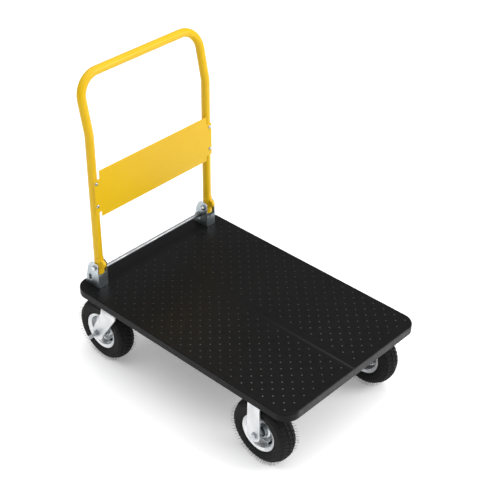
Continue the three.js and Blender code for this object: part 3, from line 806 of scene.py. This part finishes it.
def tyre_carcass(name, axle, material):
    """Sidewalls with their moulded rings, the beads, and the tread's base between the blocks."""
    inside = [(0.095, 0.008), (0.080, 0.024), (0.063, 0.017), (0.0525, 0.011)]
    outside = [
        (0.0525, 0.0205), (0.0600, 0.0242), (0.0630, 0.0256), (0.0650, 0.0274), (0.0680, 0.0286),
        (0.0700, 0.0288), (0.0712, 0.0299), (0.0728, 0.0300), (0.0738, 0.0296), (0.0800, 0.0304),
        (0.0838, 0.0303), (0.0846, 0.0309), (0.0856, 0.0309), (0.0862, 0.0301), (0.0900, 0.0291),
        (0.0945, 0.0268), (0.0984, 0.0230), (0.1010, 0.0180), (0.1028, 0.0120),
        (CARCASS_RADIUS, 0.0055), (CARCASS_RADIUS, 0.0004),
    ]
    return turned_piece(name, mirrored([*inside, *outside]), 96, axle, material, 50, ring=True)


def solid_block(name, corners, edge, material):
    """A small closed block on eight corners: four of its base, then the four above them."""
    bm = bmesh.new()
    verts = [bm.verts.new(corner) for corner in corners]
    skinned(bm, [verts[:4], verts[4:]])
    return finished(name, bm, material, edge=edge, steps=1, sharp=30)


def tread_block(material):
    """One block of the middle row, a leaning oblong. X is outwards, Y round the tyre, Z along the axle."""
    lean, half, width = 0.0024, 0.0060, 0.0062
    corners = []
    for x, share in ((-0.0008, 1), (0.0027, 0.93)):
        for y, z in ((-half, -width), (half, -width), (half, width), (-half, width)):
            corners.append((x, y * share + lean * z / width, z * share))
    return solid_block("tread_block_pattern", corners, 0.0006, material)


def shoulder_lug(side, material):
    """One lug of a shoulder row, which runs from beside the middle row down over the shoulder."""
    base = [(-0.0012, 0.0085), (-0.0085, 0.0255)]
    top = [(0.0025, 0.0088), (-0.0052, 0.0258)]
    corners = []
    for (inner_x, inner_z), (outer_x, outer_z) in (base, top):
        corners += [(inner_x, -0.0060, side * inner_z), (inner_x, 0.0060, side * inner_z)]
        corners += [(outer_x, 0.0056, side * outer_z), (outer_x, -0.0056, side * outer_z)]
    return solid_block("shoulder_lug_pattern", corners, 0.0006, material)


def sweep(bm, path, radius, sides, inner=0):
    """A round section along a path of points, hollow if it has an inner radius."""
    turned = []
    across = None
    for i, point in enumerate(path):
        ahead = (path[min(i + 1, len(path) - 1)] - path[max(i - 1, 0)]).normalized()
        if across is None:
            across = ahead.orthogonal().normalized()
        across = (across - ahead * across.dot(ahead)).normalized()
        turned.append((point, across, ahead.cross(across)))

    def skin(size):
        rings = []
        for point, u, v in turned:
            angles = [2 * math.pi * step / sides for step in range(sides)]
            rings.append([bm.verts.new(point + size * (u * math.cos(a) + v * math.sin(a))) for a in angles])
        for first, second in zip(rings, rings[1:]):
            strip(bm, first, second)
        return rings[0], rings[-1]

    ends = skin(radius)
    if inner:
        for outer_end, inner_end in zip(ends, skin(inner)):
            strip(bm, outer_end, inner_end)
    else:
        for ring in ends:
            bm.faces.new(ring)


def whisker(side, material):
    """One vent whisker on the shoulder, which leans outwards and stays clear of the fork."""
    bm = bmesh.new()
    root, tip = Vector((-0.0068, 0, side * 0.0255)), Vector((0.0008, 0.0020, side * 0.0352))
    bow = (root + tip) / 2 + Vector((0.0012, -0.0006, 0))
    sweep(bm, [root, root.lerp(bow, 0.5), bow, bow.lerp(tip, 0.5), tip], WHISKER_RADIUS, 5)
    return finished("whisker_pattern", bm, material)


def around_axle(name, pattern, count, radius, start, centre, material, scatter=0.0):
    """A ring of one pattern round an axle along X. `scatter` is how much smaller some may be."""
    piece = grown(name, ring_tree, {
        "Piece": pattern, "Count": count, "Radius": radius, "Start": start, "Scatter": scatter,
        "Seed": RING_SEED, "Turn": (0, math.radians(90), 0), "Centre": centre, "Finish": material,
    })
    bpy.data.objects.remove(pattern)
    return piece


def rim_half(name, sign, axle, material):
    """One pressed half: hub flange, stepped disc, drop well, bead seat and rolled flange."""
    face = [
        (0.0223, 0.0088), (0.0262, 0.0086), (0.0290, 0.0072), (0.0322, 0.0036), (0.0345, 0.0026),
        (0.0425, 0.0026), (0.0458, 0.0034), (0.0482, 0.0058), (0.0490, 0.0095), (0.0490, 0.0195),
        (0.0499, 0.0226), (0.0524, 0.0248), (0.0570, 0.0262), (0.0600, 0.0276), (0.0615, 0.0279),
        (0.0621, 0.0272), (0.0619, 0.0262),
    ]
    back = [
        (0.0600, 0.0253), (0.0573, 0.0242), (0.0538, 0.0226), (0.0519, 0.0206), (RIM_SEAT, 0.0180),
        (RIM_SEAT, 0.0012), (0.0508, 0.0003), (0.0345, 0.0003), (0.0312, 0.0012), (0.0280, 0.0048),
        (0.0258, 0.0064), (0.0223, 0.0066),
    ]
    return turned_piece(name, face + back, 72, axle, material, 55, ring=True, way=sign)


def valve_stem(name, sign, axle, material):
    """A rubber stem with its cap, which stands in the rim's well and points outwards."""
    bm = bmesh.new()
    profile = [(0, 0.002), (0.0042, 0.002), (0.0042, 0.0045), (0.0029, 0.0075), (0.0029, 0.0165)]
    profile += [(0.0036, 0.0168), (0.0036, 0.0235), (0.0028, 0.0245), (0, 0.0245)]
    turn_profile(bm, profile, 16, Vector((0, VALVE_CIRCLE, 0)), way=sign)
    bmesh.ops.rotate(bm, verts=bm.verts, cent=(0, 0, 0), matrix=Matrix.Rotation(VALVE_ANGLE, 3, "X"))
    bmesh.ops.translate(bm, verts=bm.verts, vec=axle)
    return finished(name, bm, material, sharp=50)


def hub_barrel(name, axle, reach, material):
    """The barrel between the rim halves, a bearing's bright outer ring in each end, and spacer sleeves."""
    half = [
        (0.0063, reach), (0.0122, reach), (0.0130, reach - 0.0008), (0.0130, 0.0162), (0.0188, 0.0162),
        (0.0190, 0.0168), (0.0212, 0.0168), (0.0220, 0.0160),
    ]
    return turned_piece(name, mirrored(half), 48, axle, material, 45, ring=True)


def bearing_seals(name, axle, material):
    """A rubber shield in the mouth of each bearing."""
    bm = bmesh.new()
    section = [(0.0134, 0.0158), (0.0134, 0.0169), (0.0150, 0.0173), (0.0172, 0.0173), (0.0186, 0.0167)]
    section.append((0.0186, 0.0158))
    for sign in (-1, 1):
        turn_profile(bm, section, 48, axle, ring=True, way=sign)
    return finished(name, bm, material, sharp=50)


def rim_bolt(sign, material):
    """A hexagon head, its washer and the end of its shank on one face of the rim's disc."""
    start = 0.0024
    profile = [(0, start), (0.0058, start), (0.0058, start + 0.0010), (0.0053, start + 0.0011)]
    profile += hexagon_head(0.0055, 0.0038, start + 0.0011) + [(0.0026, start + 0.0049)]
    profile += [(0.0026, start + 0.0075), (0.0020, start + 0.0082), (0, start + 0.0082)]
    return turned_piece("rim_bolt_pattern", profile, 24, Vector(), material, 35, axis="z", way=sign)


rubber = tyre_rubber()
rim_zinc = zinc_plate("rim_zinc", (0.70, 0.71, 0.72), (0.56, 0.58, 0.60), 0.2, (1, 1, 1))
for (end, side), axle in axles.items():
    wheel = f"{end}_{side}"
    body = f"{wheel}_wheel"
    outward = SIDES[side]
    carcass = tyre_carcass(f"{wheel}_tyre_carcass", axle, rubber)
    fix(carcass, body, "tyre_rubber", f"{wheel}_tyre")
    half_step = math.pi / SHOULDER_LUGS
    rings = [("tread", tread_block(rubber), TREAD_BLOCKS, 0, 0)]
    for name, sign in (("outer", 1), ("inner", -1)):
        rings.append((f"lugs_{name}", shoulder_lug(sign, rubber), SHOULDER_LUGS, half_step, 0))
        rings.append((f"whiskers_{name}", whisker(sign, rubber), WHISKERS, half_step / 3, WHISKER_SCATTER))
    for name, pattern, count, start, scatter in rings:
        ring = around_axle(f"{wheel}_{name}", pattern, count, CARCASS_RADIUS, start, axle, rubber, scatter)
        fix(ring, body, "tyre_rubber")
    for name, sign in (("outer", outward), ("inner", -outward)):
        node = f"{wheel}_rim_{name}"
        fix(rim_half(f"{node}_pressing", sign, axle, rim_zinc), body, "rim_steel", node)
        pattern = rim_bolt(sign, zinc_bolt)
        bolts = around_axle(f"{wheel}_rim_bolts_{name}", pattern, RIM_BOLTS, RIM_BOLT_CIRCLE, RIM_BOLT_START,
                            axle, zinc_bolt)
        fix(bolts, body, "fastener_zinc")
    node = f"{wheel}_hub"
    low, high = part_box(node)
    fix(hub_barrel(f"{node}_barrel", axle, (high.x - low.x) / 2, zinc_bracket), body, "bracket_zinc", node)
    fix(bearing_seals(f"{wheel}_bearing_seals", axle, rubber), body, "tube_rubber")
    fix(valve_stem(f"{wheel}_valve", outward, axle, rubber), body, "tube_rubber")
    refinished(f"{wheel}_inner_tube", rubber)


# ---------- hinge brackets ----------
# Pressed 2.5 mm steel, zinc plated, bolted to the deck: two cheeks with a lobe round the pivot, on a
# floor, with a low front wall between them. A yellow shoe with a thick nose is welded to each leg.
TUBE_RADIUS = 0.014
SHOE_SHEET = 0.0016
BRACKET_SHEET = 0.0025
LOBE_RADIUS = 0.020
WALL_GAP = 0.0003
BAR_RADIUS = 0.0063
BAR_TRAVEL = 0.012
SLOT_GAP = 0.0006
FRONT_WALL_RISE = 0.0412
NOSE_RADIUS = 0.0135
NOSE_RISE = 0.088
NOSE_WIDTH = 0.010
NOSE_EDGE = 0.0020
SADDLE_EDGE = 0.0006
CHEEK_EDGE = 0.0005
WALL_EDGE = 0.0003
PIVOT_HOLE = 0.0053
FLOOR_BOLT_OFF = 0.0075
FLOOR_BOLT_IN = 0.0125

ACROSS = Matrix(((0, 0, 1, 0), (1, 0, 0, 0), (0, 1, 0, 0), (0, 0, 0, 1)))
FACING = Matrix(((1, 0, 0, 0), (0, 0, -1, 0), (0, 1, 0, 0), (0, 0, 0, 1)))

bar_low, bar_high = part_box("release_bar")
bar_y = (bar_low.y + bar_high.y) / 2
bar_z = (bar_low.z + bar_high.z) / 2
fold = next(joint for joint in frame["joints"] if joint["name"] == "handle_fold")
pivot_y, pivot_z = fold["pos_m"][1], fold["pos_m"][2]


def bracket(name, low, high, wall_top, material):
    """Cheeks, floor and front wall. `wall_top` is the height of the front wall's edge."""
    bm = bmesh.new()
    middle = (low.x + high.x) / 2
    front, back = low.y, high.y
    cheek = [
        (front, low.z + 0.003), (front + 0.003, low.z), (back - 0.003, low.z), (back, low.z + 0.003),
        (back - 0.001, low.z + 0.012), (back - 0.013, pivot_z - 0.006),
        *arc((pivot_y + 0.006, pivot_z), LOBE_RADIUS, 20, 90, 8),
        *arc((pivot_y - 0.002, pivot_z + 0.003), LOBE_RADIUS - 0.003, 110, 150, 6),
        (front, pivot_z - 0.008),
    ]
    slot = arc((bar_y, bar_z), BAR_RADIUS + SLOT_GAP, 0, 180, 10)
    slot += arc((bar_y, bar_z - BAR_TRAVEL), BAR_RADIUS + SLOT_GAP, 180, 360, 10)
    hole = arc((pivot_y, pivot_z), PIVOT_HOLE, 0, 345, 23)
    inside = (high.x - low.x) / 2 - BRACKET_SHEET
    for side in SIDES.values():
        x = middle + side * (inside + BRACKET_SHEET / 2)
        pressed(bm, [cheek, slot, hole], BRACKET_SHEET, CHEEK_EDGE, (x, 0, 0), ACROSS)
    left, right = middle - inside - LAP, middle + inside + LAP
    floor = rounded_box((left, front + LAP), (right, back - 0.002), 0.001, 2)
    pressed(bm, [floor], BRACKET_SHEET, WALL_EDGE, (0, 0, low.z + BRACKET_SHEET / 2))
    wall = rounded_box((left, low.z), (right, wall_top), 0.0012, 3)
    pressed(bm, [wall], BRACKET_SHEET, WALL_EDGE, (0, front + BRACKET_SHEET / 2, 0), FACING)
    bm.normal_update()
    return finished(name, bm, material, sharp=35)


def shoe(name, axis_x, axis_y, low, high, material):
    """A half saddle round the front of the leg, and the thick rounded nose welded to its middle."""
    bm = bmesh.new()
    bore = TUBE_RADIUS + WALL_GAP
    outside = bore + SHOE_SHEET
    saddle = arc((axis_x, axis_y), outside, 183, 357, 24) + arc((axis_x, axis_y), bore, 357, 183, 24)
    height = high.z - low.z
    pressed(bm, [saddle], height, SADDLE_EDGE, (0, 0, (low.z + high.z) / 2))
    nose_y, nose_z = low.y + NOSE_RADIUS, deck_high.z + NOSE_RISE
    outline = arc((nose_y, nose_z), NOSE_RADIUS, 88, 272, 28)
    root = axis_y - bore
    outline += [(root, nose_z - NOSE_RADIUS * 0.98), (root, nose_z + NOSE_RADIUS * 0.98)]
    outline = [point for point in outline if point[0] <= root]
    pressed(bm, [outline], NOSE_WIDTH, NOSE_EDGE, (axis_x, 0, 0), ACROSS)
    return finished(name, bm, material, sharp=35)


def yellow_coat():
    """Gloss yellow powder coat: faint orange peel, slight shade changes, rubbed and greyed on edges."""
    material, tree, shader, place = new_finish("yellow_powder_coat", IOR=1.5, Specular_IOR_Level=0.24)
    shade = grain(tree, place, 3.5, 3)
    dirt = grain(tree, place, 45, 7)
    scuff = grain(tree, place, 30, 6, (1, 1, 0.12))
    body = tinted(tree, ranged(tree, shade, 0, 1, 0.35, 0.65), (0.76, 0.462, 0.006), (0.80, 0.505, 0.012))
    edge = multiplied(tree, worn_edges(tree, 0.0009, 0.86), ranged(tree, dirt, 0, 0.75, 0.46, 0.62))
    rubbed = tinted(tree, edge, body, (0.50, 0.30, 0.035))
    rough = worked(tree, "ADD", ranged(tree, dirt, 0.27, 0.4), ranged(tree, scuff, 0, 0.12, 0.5, 0.75))
    peel = grain(tree, place, 360, 2)
    dressed(tree, shader, rubbed, rough, (peel, 0.00007), (scuff, 0.00004))
    return material


coat_yellow = yellow_coat()
floor_bolts = []
for side in SIDES:
    node = f"hinge_bracket_{side}"
    low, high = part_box(node)
    middle = (low.x + high.x) / 2
    wall_top = deck_high.z + FRONT_WALL_RISE
    pressing = bracket(f"{node}_pressing", low, high, wall_top, zinc_bracket)
    fix(pressing, "chassis", "bracket_zinc", node)
    for off in (-FLOOR_BOLT_OFF, FLOOR_BOLT_OFF):
        floor_bolts.append((middle + off, low.y + FLOOR_BOLT_IN, low.z + BRACKET_SHEET))
    node = f"hinge_shoe_{side}"
    low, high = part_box(node)
    fix(shoe(f"{node}_pressing", middle, pivot_y, low, high, coat_yellow), "handle", "handle_paint", node)
profile = [(0, -0.0004), (0.0064, -0.0004), (0.0064, 0.0008), (0.0056, 0.0010)]
profile += hexagon_head(0.0062, 0.0040, 0.0010) + [(0, 0.0050)]
pattern = turned_piece("floor_bolt_pattern", profile, 24, Vector(), zinc_bolt, axis="z")
fix(set_out("bracket_bolts", bolt_tree, pattern, floor_bolts, zinc_bolt), "chassis", "fastener_zinc")


# ---------- pivot bolts ----------
# An M10 bolt through each bracket and leg, head and flat washer outside, lock nut inside with its blue
# nylon ring and three threads showing.
PIVOT_HEX = 0.0088
PIVOT_RADIUS = 0.005
PIVOT_END = 0.0110
THREAD_DEPTH = 0.0005


def thread(start, end, radius, pitch):
    """Profile steps of a thread's crests and roots, from `start` down to `end`."""
    turns = int(abs(end - start) / pitch)
    root = radius - THREAD_DEPTH
    steps = []
    for turn in range(turns):
        along = start - turn * pitch
        steps += [(root, along), (radius, along - pitch * 0.4), (radius, along - pitch * 0.6)]
    return [*steps, (root, start - turns * pitch), (radius - 0.0014, end), (0, end)]


for side, sign in SIDES.items():
    node = f"pivot_bolt_{side}"
    cheek_low, cheek_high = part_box(f"hinge_bracket_{side}")
    half = (cheek_high.x - cheek_low.x) / 2
    centre = Vector(((cheek_low.x + cheek_high.x) / 2, pivot_y, pivot_z))
    bm = bmesh.new()
    face = half + 0.0015
    head = [(0, half), (0.0100, half), (0.0102, half + 0.0004), (0.0102, half + 0.0012), (0.0096, face)]
    head += hexagon_head(PIVOT_HEX, 0.0041, face)
    head += [(0.0062, half + 0.0056), (0.0055, half + 0.0053), (0, half + 0.0053)]
    turn_profile(bm, head, 48, centre, way=sign)
    shank = [(0, half - 0.001), (PIVOT_RADIUS, half - 0.001), (PIVOT_RADIUS, -half)]
    shank += thread(-half, -half - PIVOT_END, PIVOT_RADIUS, 0.0015)
    turn_profile(bm, shank, 24, centre, way=sign)
    fix(finished(f"{node}_m10", bm, zinc_bolt, sharp=30), "chassis", "fastener_zinc", node)
    node = f"pivot_nut_{side}"
    nut = [(0.0052, -half), (0.0100, -half), (0.0100, -half - 0.0012), (0.0090, -half - 0.0014)]
    nut += hexagon_head(PIVOT_HEX, 0.0048, -half - 0.0014, -1)
    nut += [(0.0072, -half - 0.0064), (0.0070, -half - 0.0078), (0.0062, -half - 0.0082)]
    nut.append((0.0052, -half - 0.0080))
    nut = turned_piece(f"{node}_m10", nut, 48, centre, zinc_bolt, 30, ring=True, way=sign)
    fix(nut, "chassis", "fastener_zinc", node)


# ---------- release bar and springs ----------
# A zinc plated tube right across the cart behind the legs, with a pressed collar inside each bracket.
# A coil spring in each bracket pushes it up; a foot pushes it down.
SPRING_RADIUS = 0.0051
SPRING_WIRE = 0.0009
SPRING_TURNS = 5

zinc_bar = zinc_plate("zinc_bar", (0.36, 0.37, 0.38), (0.29, 0.30, 0.31), 0.36, (0.1, 12, 12))
end = bar_high.x
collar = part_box("hinge_bracket_right")[0].x - 0.0006
half = [
    (0.0049, end - 0.0006), (0.0053, end), (0.0059, end), (BAR_RADIUS, end - 0.0005), (BAR_RADIUS, collar),
    (0.0092, collar), (0.0095, collar - 0.0004), (0.0095, collar - 0.0056), (0.0091, collar - 0.0060),
    (BAR_RADIUS + 0.0003, collar - 0.0061), (BAR_RADIUS, collar - 0.0068),
]
bar_middle = Vector((0, bar_y, bar_z))
bar = turned_piece("release_bar_tube", mirrored(half), 32, bar_middle, zinc_bar, 35, ring=True)
fix(bar, "release_bar", "bar_zinc", "release_bar")


def coil(centre, low, high):
    """An open coil with its last turn at each end lying flat."""
    path = []
    steps = 26 * SPRING_TURNS
    for step in range(steps + 1):
        share = step / steps
        angle = 2 * math.pi * SPRING_TURNS * share
        rise = smooth_step(share, 0.5 / SPRING_TURNS, 1 - 0.5 / SPRING_TURNS)
        straight = min(1, max(0, (share - 0.12) / 0.76))
        z = low + SPRING_WIRE + (high - low - 2 * SPRING_WIRE) * (0.25 * rise + 0.75 * straight)
        x, y = SPRING_RADIUS * math.cos(angle), SPRING_RADIUS * math.sin(angle)
        path.append(Vector((centre.x + x, centre.y + y, z)))
    return path


steel = zinc_plate("spring_steel", (0.50, 0.50, 0.50), (0.34, 0.34, 0.35), 0.3, (1, 1, 1))
for side in SIDES:
    node = f"release_spring_{side}"
    low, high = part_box(node)
    bm = bmesh.new()
    sweep(bm, coil((low + high) / 2, low.z, high.z), SPRING_WIRE, 8)
    piece = finished(f"{node}_coil", bm, steel, sharp=60)
    fix(piece, "chassis", "spring_steel", node)
    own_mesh(piece)


# ---------- handle tube ----------
# One length of 28 mm tube, 1.5 mm wall, bent four times: back at the top of each leg, then over into
# the grip bar. Powder coated yellow.
TUBE_WALL = 0.0015
RAKE_START = 0.540
RAKE_BEND = 0.110
GRIP_BEND = 0.070


def bent(corners, radii, steps):
    """A path through the corners, each of them rounded to its bend radius."""
    path = [corners[0]]
    for i, radius in enumerate(radii, 1):
        before = (corners[i] - corners[i - 1]).normalized()
        after = (corners[i + 1] - corners[i]).normalized()
        turn = before.angle(after)
        start = corners[i] - before * radius * math.tan(turn / 2)
        inward = (after - before * after.dot(before)).normalized()
        for step in range(steps + 1):
            angle = turn * step / steps
            path.append(start + before * radius * math.sin(angle) + inward * radius * (1 - math.cos(angle)))
    path.append(corners[-1])
    return path


tube_low, tube_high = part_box("handle_tube")
leg_x = tube_high.x - TUBE_RADIUS
top = Vector((leg_x, tube_high.y - TUBE_RADIUS, tube_high.z - TUBE_RADIUS))
rake = Vector((leg_x, pivot_y, deck_high.z + RAKE_START))
foot = Vector((leg_x, pivot_y, tube_low.z))
other = Vector((-1, 1, 1))
corners = [foot * other, rake * other, top * other, top, rake, foot]
bm = bmesh.new()
path = bent(corners, [RAKE_BEND, GRIP_BEND, GRIP_BEND, RAKE_BEND], 14)
sweep(bm, path, TUBE_RADIUS, 40, TUBE_RADIUS - TUBE_WALL)
fix(finished("handle_tube_bent", bm, coat_yellow, sharp=50), "handle", "handle_paint", "handle_tube")


# ---------- back panel ----------
# A 2 mm sheet between the legs with a tab at each side that lies on the leg. Sheared, its corners
# broken, coated yellow with the tube, and screwed on through the tabs.
PANEL_CORNER = 0.0025
PANEL_EDGE = 0.0006
TAB_REACH = 0.009
TAB_LOW = 0.276
TAB_HIGH = 0.391
SCREW_HOLE = 0.0028
SCREW_RISE = 0.0030

panel_low, panel_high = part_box("back_panel")
screw_nodes = [f"panel_screw_{side}_{end}" for side in SIDES for end in ("lower", "upper")]
plate_x = leg_x - TUBE_RADIUS - WALL_GAP
tab_x = leg_x + TAB_REACH
tab_low, tab_high = deck_high.z + TAB_LOW, deck_high.z + TAB_HIGH
corner_points = [
    (plate_x, panel_low.z), (plate_x, tab_low), (tab_x, tab_low), (tab_x, tab_high),
    (plate_x, tab_high), (plate_x, panel_high.z),
]
outline = []
for x, z in corner_points + [(-x, z) for x, z in reversed(corner_points)]:
    outline.append(Vector((x, z, 0)))


def eased(outline, radius, steps=3):
    """The outline with every corner rounded."""
    points = []
    for i, corner in enumerate(outline):
        before = (outline[i - 1] - corner).normalized()
        after = (outline[(i + 1) % len(outline)] - corner).normalized()
        for step in range(steps + 1):
            share = step / steps
            near, far = corner + before * radius, corner + after * radius
            first, second = near.lerp(corner, share), corner.lerp(far, share)
            points.append(tuple(first.lerp(second, share))[:2])
    return points


outlines = [eased(outline, PANEL_CORNER)]
places = []
for low, high in map(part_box, screw_nodes):
    x, z = (low.x + high.x) / 2, (low.z + high.z) / 2
    outlines.append(arc((x, z), SCREW_HOLE, 0, 330, 11))
    places.append((x, low.y + SCREW_RISE, z))
bm = bmesh.new()
panel_middle = (panel_low.y + panel_high.y) / 2
pressed(bm, outlines, panel_high.y - panel_low.y, PANEL_EDGE, (0, panel_middle, 0), FACING)
fix(finished("back_panel_sheet", bm, coat_yellow, sharp=30), "handle", "handle_paint", "back_panel")


# ---------- panel screws ----------
# Pan head tapping screws with a cross recess, two through each tab into the leg.
SCREW_HEAD = 0.0055

bm = bmesh.new()
profile = [(0, 0.0018), (0.0016, 0.0018), (0.0022, 0.0029), (0.0030, 0.0029), (0.0043, 0.0025)]
profile += [(0.0052, 0.0017), (SCREW_HEAD, 0.0009), (SCREW_HEAD, 0), (0.0025, 0), (0.0025, -0.0060)]
profile.append((0, -0.0071))
turn_profile(bm, profile, 32, Vector(), "z")
for vert in bm.verts:
    reach = math.hypot(vert.co.x, vert.co.y)
    if vert.co.z > 0.0016 and 0.001 < reach < 0.0024:
        lobes = 1 + 0.3 * math.cos(4 * math.atan2(vert.co.y, vert.co.x))
        vert.co.x *= lobes
        vert.co.y *= lobes
pattern = finished("panel_screw_pattern", bm, zinc_bolt, sharp=35)
screws = set_out("panel_screws", bolt_tree, pattern, places, zinc_bolt, (math.radians(90), 0, 0))
fix(screws, "handle", "fastener_zinc", *screw_nodes)


# ---------- axle bolts ----------
# M12 bolts through both feet of each fork with a washer under each end. In front the head faces
# outwards; behind the nut does, with a long end of thread beyond it.
AXLE_HEX = 0.0103
AXLE_RADIUS = 0.0060
OUTSIDE = 0.0433
WASHER = 0.0014

for (end, side), axle in axles.items():
    outward = SIDES[side]
    sign = outward if end == "front" else -outward
    body = "chassis" if end == "front" else f"rear_{side}_swivel"
    low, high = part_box(f"{end}_{side}_axle_bolt")
    length = max(abs(low.x - axle.x), abs(high.x - axle.x))
    bm = bmesh.new()
    face = OUTSIDE + WASHER
    head = [(0, OUTSIDE), (0.0120, OUTSIDE), (0.0122, OUTSIDE + 0.0004), (0.0122, face - 0.0003)]
    head += [(0.0118, face), *hexagon_head(AXLE_HEX, 0.0054, face)]
    head += [(0.0068, face + 0.0053), (0.0060, face + 0.0049), (0, face + 0.0049)]
    turn_profile(bm, head, 48, axle, way=sign)
    shank = [(0, 0), (AXLE_RADIUS, 0), (AXLE_RADIUS, -OUTSIDE)]
    shank += thread(-OUTSIDE, -length, AXLE_RADIUS, 0.00175)
    turn_profile(bm, shank, 32, axle, way=sign)
    top, foot = OUTSIDE + LAP, -LAP
    rod = [(0, top), (AXLE_RADIUS, top), (AXLE_RADIUS, foot), (0, foot)]
    turn_profile(bm, rod, 32, axle, way=sign)
    name = f"{end}_{side}_axle_bolt"
    fix(finished(f"{name}_m12", bm, zinc_bolt, sharp=30), body, "fastener_zinc", name)
    name = f"{end}_{side}_axle_nut"
    nut = [(0.0062, -OUTSIDE), (0.0122, -OUTSIDE), (0.0122, -face + 0.0003), (0.0118, -face)]
    nut += hexagon_head(AXLE_HEX, 0.0084, -face, -1) + [(0.0070, -face - 0.0083), (0.0062, -face - 0.0076)]
    nut = turned_piece(f"{name}_m12", nut, 48, axle, zinc_bolt, 30, ring=True, way=sign)
    fix(nut, body, "fastener_zinc", name)


# ---------- studio ----------
# A pale floor that glows faintly, as a lit table does, under a soft sky, with one broad light high on
# the right that brightens the front skirt.
FLOOR_SIZE = 12.0
FLOOR_GLOW = 0.26
SKY_RISE = (0.62, 0.98)
SKY_STRENGTH = (0.30, 2.6)
KEY_PLACE = (2.4, -3.4, 2.6)
KEY_TARGET = (0, 0, 0.2)
KEY_SIZE = 2.4
KEY_POWER = 120
CAMERA_PLACE = (-2.19381, -2.06634, 2.56823)


def studio_floor():
    values = {"Base_Color": (0.93, 0.93, 0.93, 1), "Specular_IOR_Level": 0.15}
    values |= {"Emission_Color": (1, 1, 1, 1), "Emission_Strength": FLOOR_GLOW}
    material, tree, shader, place = new_finish("studio_floor", **values)
    cloud = grain(tree, place, 3, 2)
    tree.links.new(ranged(tree, cloud, 0.7, 0.8), shader.inputs["Roughness"])
    bm = bmesh.new()
    bmesh.ops.create_grid(bm, x_segments=1, y_segments=1, size=FLOOR_SIZE / 2)
    mesh = bpy.data.meshes.new("studio_floor")
    bm.to_mesh(mesh)
    bm.free()
    return shown("studio_floor", mesh, material)


def sky(scene):
    """Even white to the camera; to the cart, a sky that is brightest overhead and dims to the horizon."""
    world = bpy.data.worlds.new("studio_sky")
    world.use_nodes = True
    scene.world = world
    tree = world.node_tree
    tree.nodes.clear()
    direction = add(tree, "ShaderNodeTexCoord").outputs["Generated"]
    height = add(tree, "ShaderNodeSeparateXYZ", {0: direction}).outputs[2]
    values = dict(enumerate((height, *SKY_RISE, *SKY_STRENGTH)))
    rise = add(tree, "ShaderNodeMapRange", values, interpolation_type="SMOOTHSTEP").outputs[0]
    seen = add(tree, "ShaderNodeLightPath").outputs["Is Camera Ray"]
    glow = add(tree, "ShaderNodeBackground", {"Color": (1, 1, 1, 1), "Strength": rise}).outputs[0]
    plain = add(tree, "ShaderNodeBackground", {"Color": (1, 1, 1, 1), "Strength": 1.0}).outputs[0]
    mixed = add(tree, "ShaderNodeMixShader", {0: seen, 1: glow, 2: plain}).outputs[0]
    add(tree, "ShaderNodeOutputWorld", {"Surface": mixed})


def area_light(name, place, target, size, power):
    light = bpy.data.lights.new(name, "AREA")
    light.shape = "DISK"
    light.size = size
    light.energy = power
    lamp = bpy.data.objects.new(name, light)
    lamp.location = place
    lamp.rotation_euler = (Vector(target) - Vector(place)).to_track_quat("-Z", "Y").to_euler()
    bpy.context.scene.collection.objects.link(lamp)
    return lamp


def camera_at(place, azimuth, elevation, roll, lens):
    """A camera at `place`, looking down by `elevation` towards the heading that `azimuth` gives."""
    turns = ((azimuth, "Z"), (90 - elevation, "X"), (roll, "Z"))
    heading, tilt, lean = (Matrix.Rotation(math.radians(angle), 4, axis) for angle, axis in turns)
    data = bpy.data.cameras.new("studio_camera")
    data.lens = lens
    data.sensor_width = 36
    camera = bpy.data.objects.new("studio_camera", data)
    camera.matrix_world = Matrix.Translation(place) @ heading @ tilt @ lean
    bpy.context.scene.collection.objects.link(camera)
    bpy.context.scene.camera = camera


floor = studio_floor()
key = area_light("key_light", KEY_PLACE, KEY_TARGET, KEY_SIZE, KEY_POWER)
sky(bpy.context.scene)
camera_at(CAMERA_PLACE, azimuth=-46.74, elevation=34.52, roll=0.17, lens=91.71)
bpy.context.scene.view_settings.view_transform = "Standard"
bpy.context.scene.view_settings.look = "None"
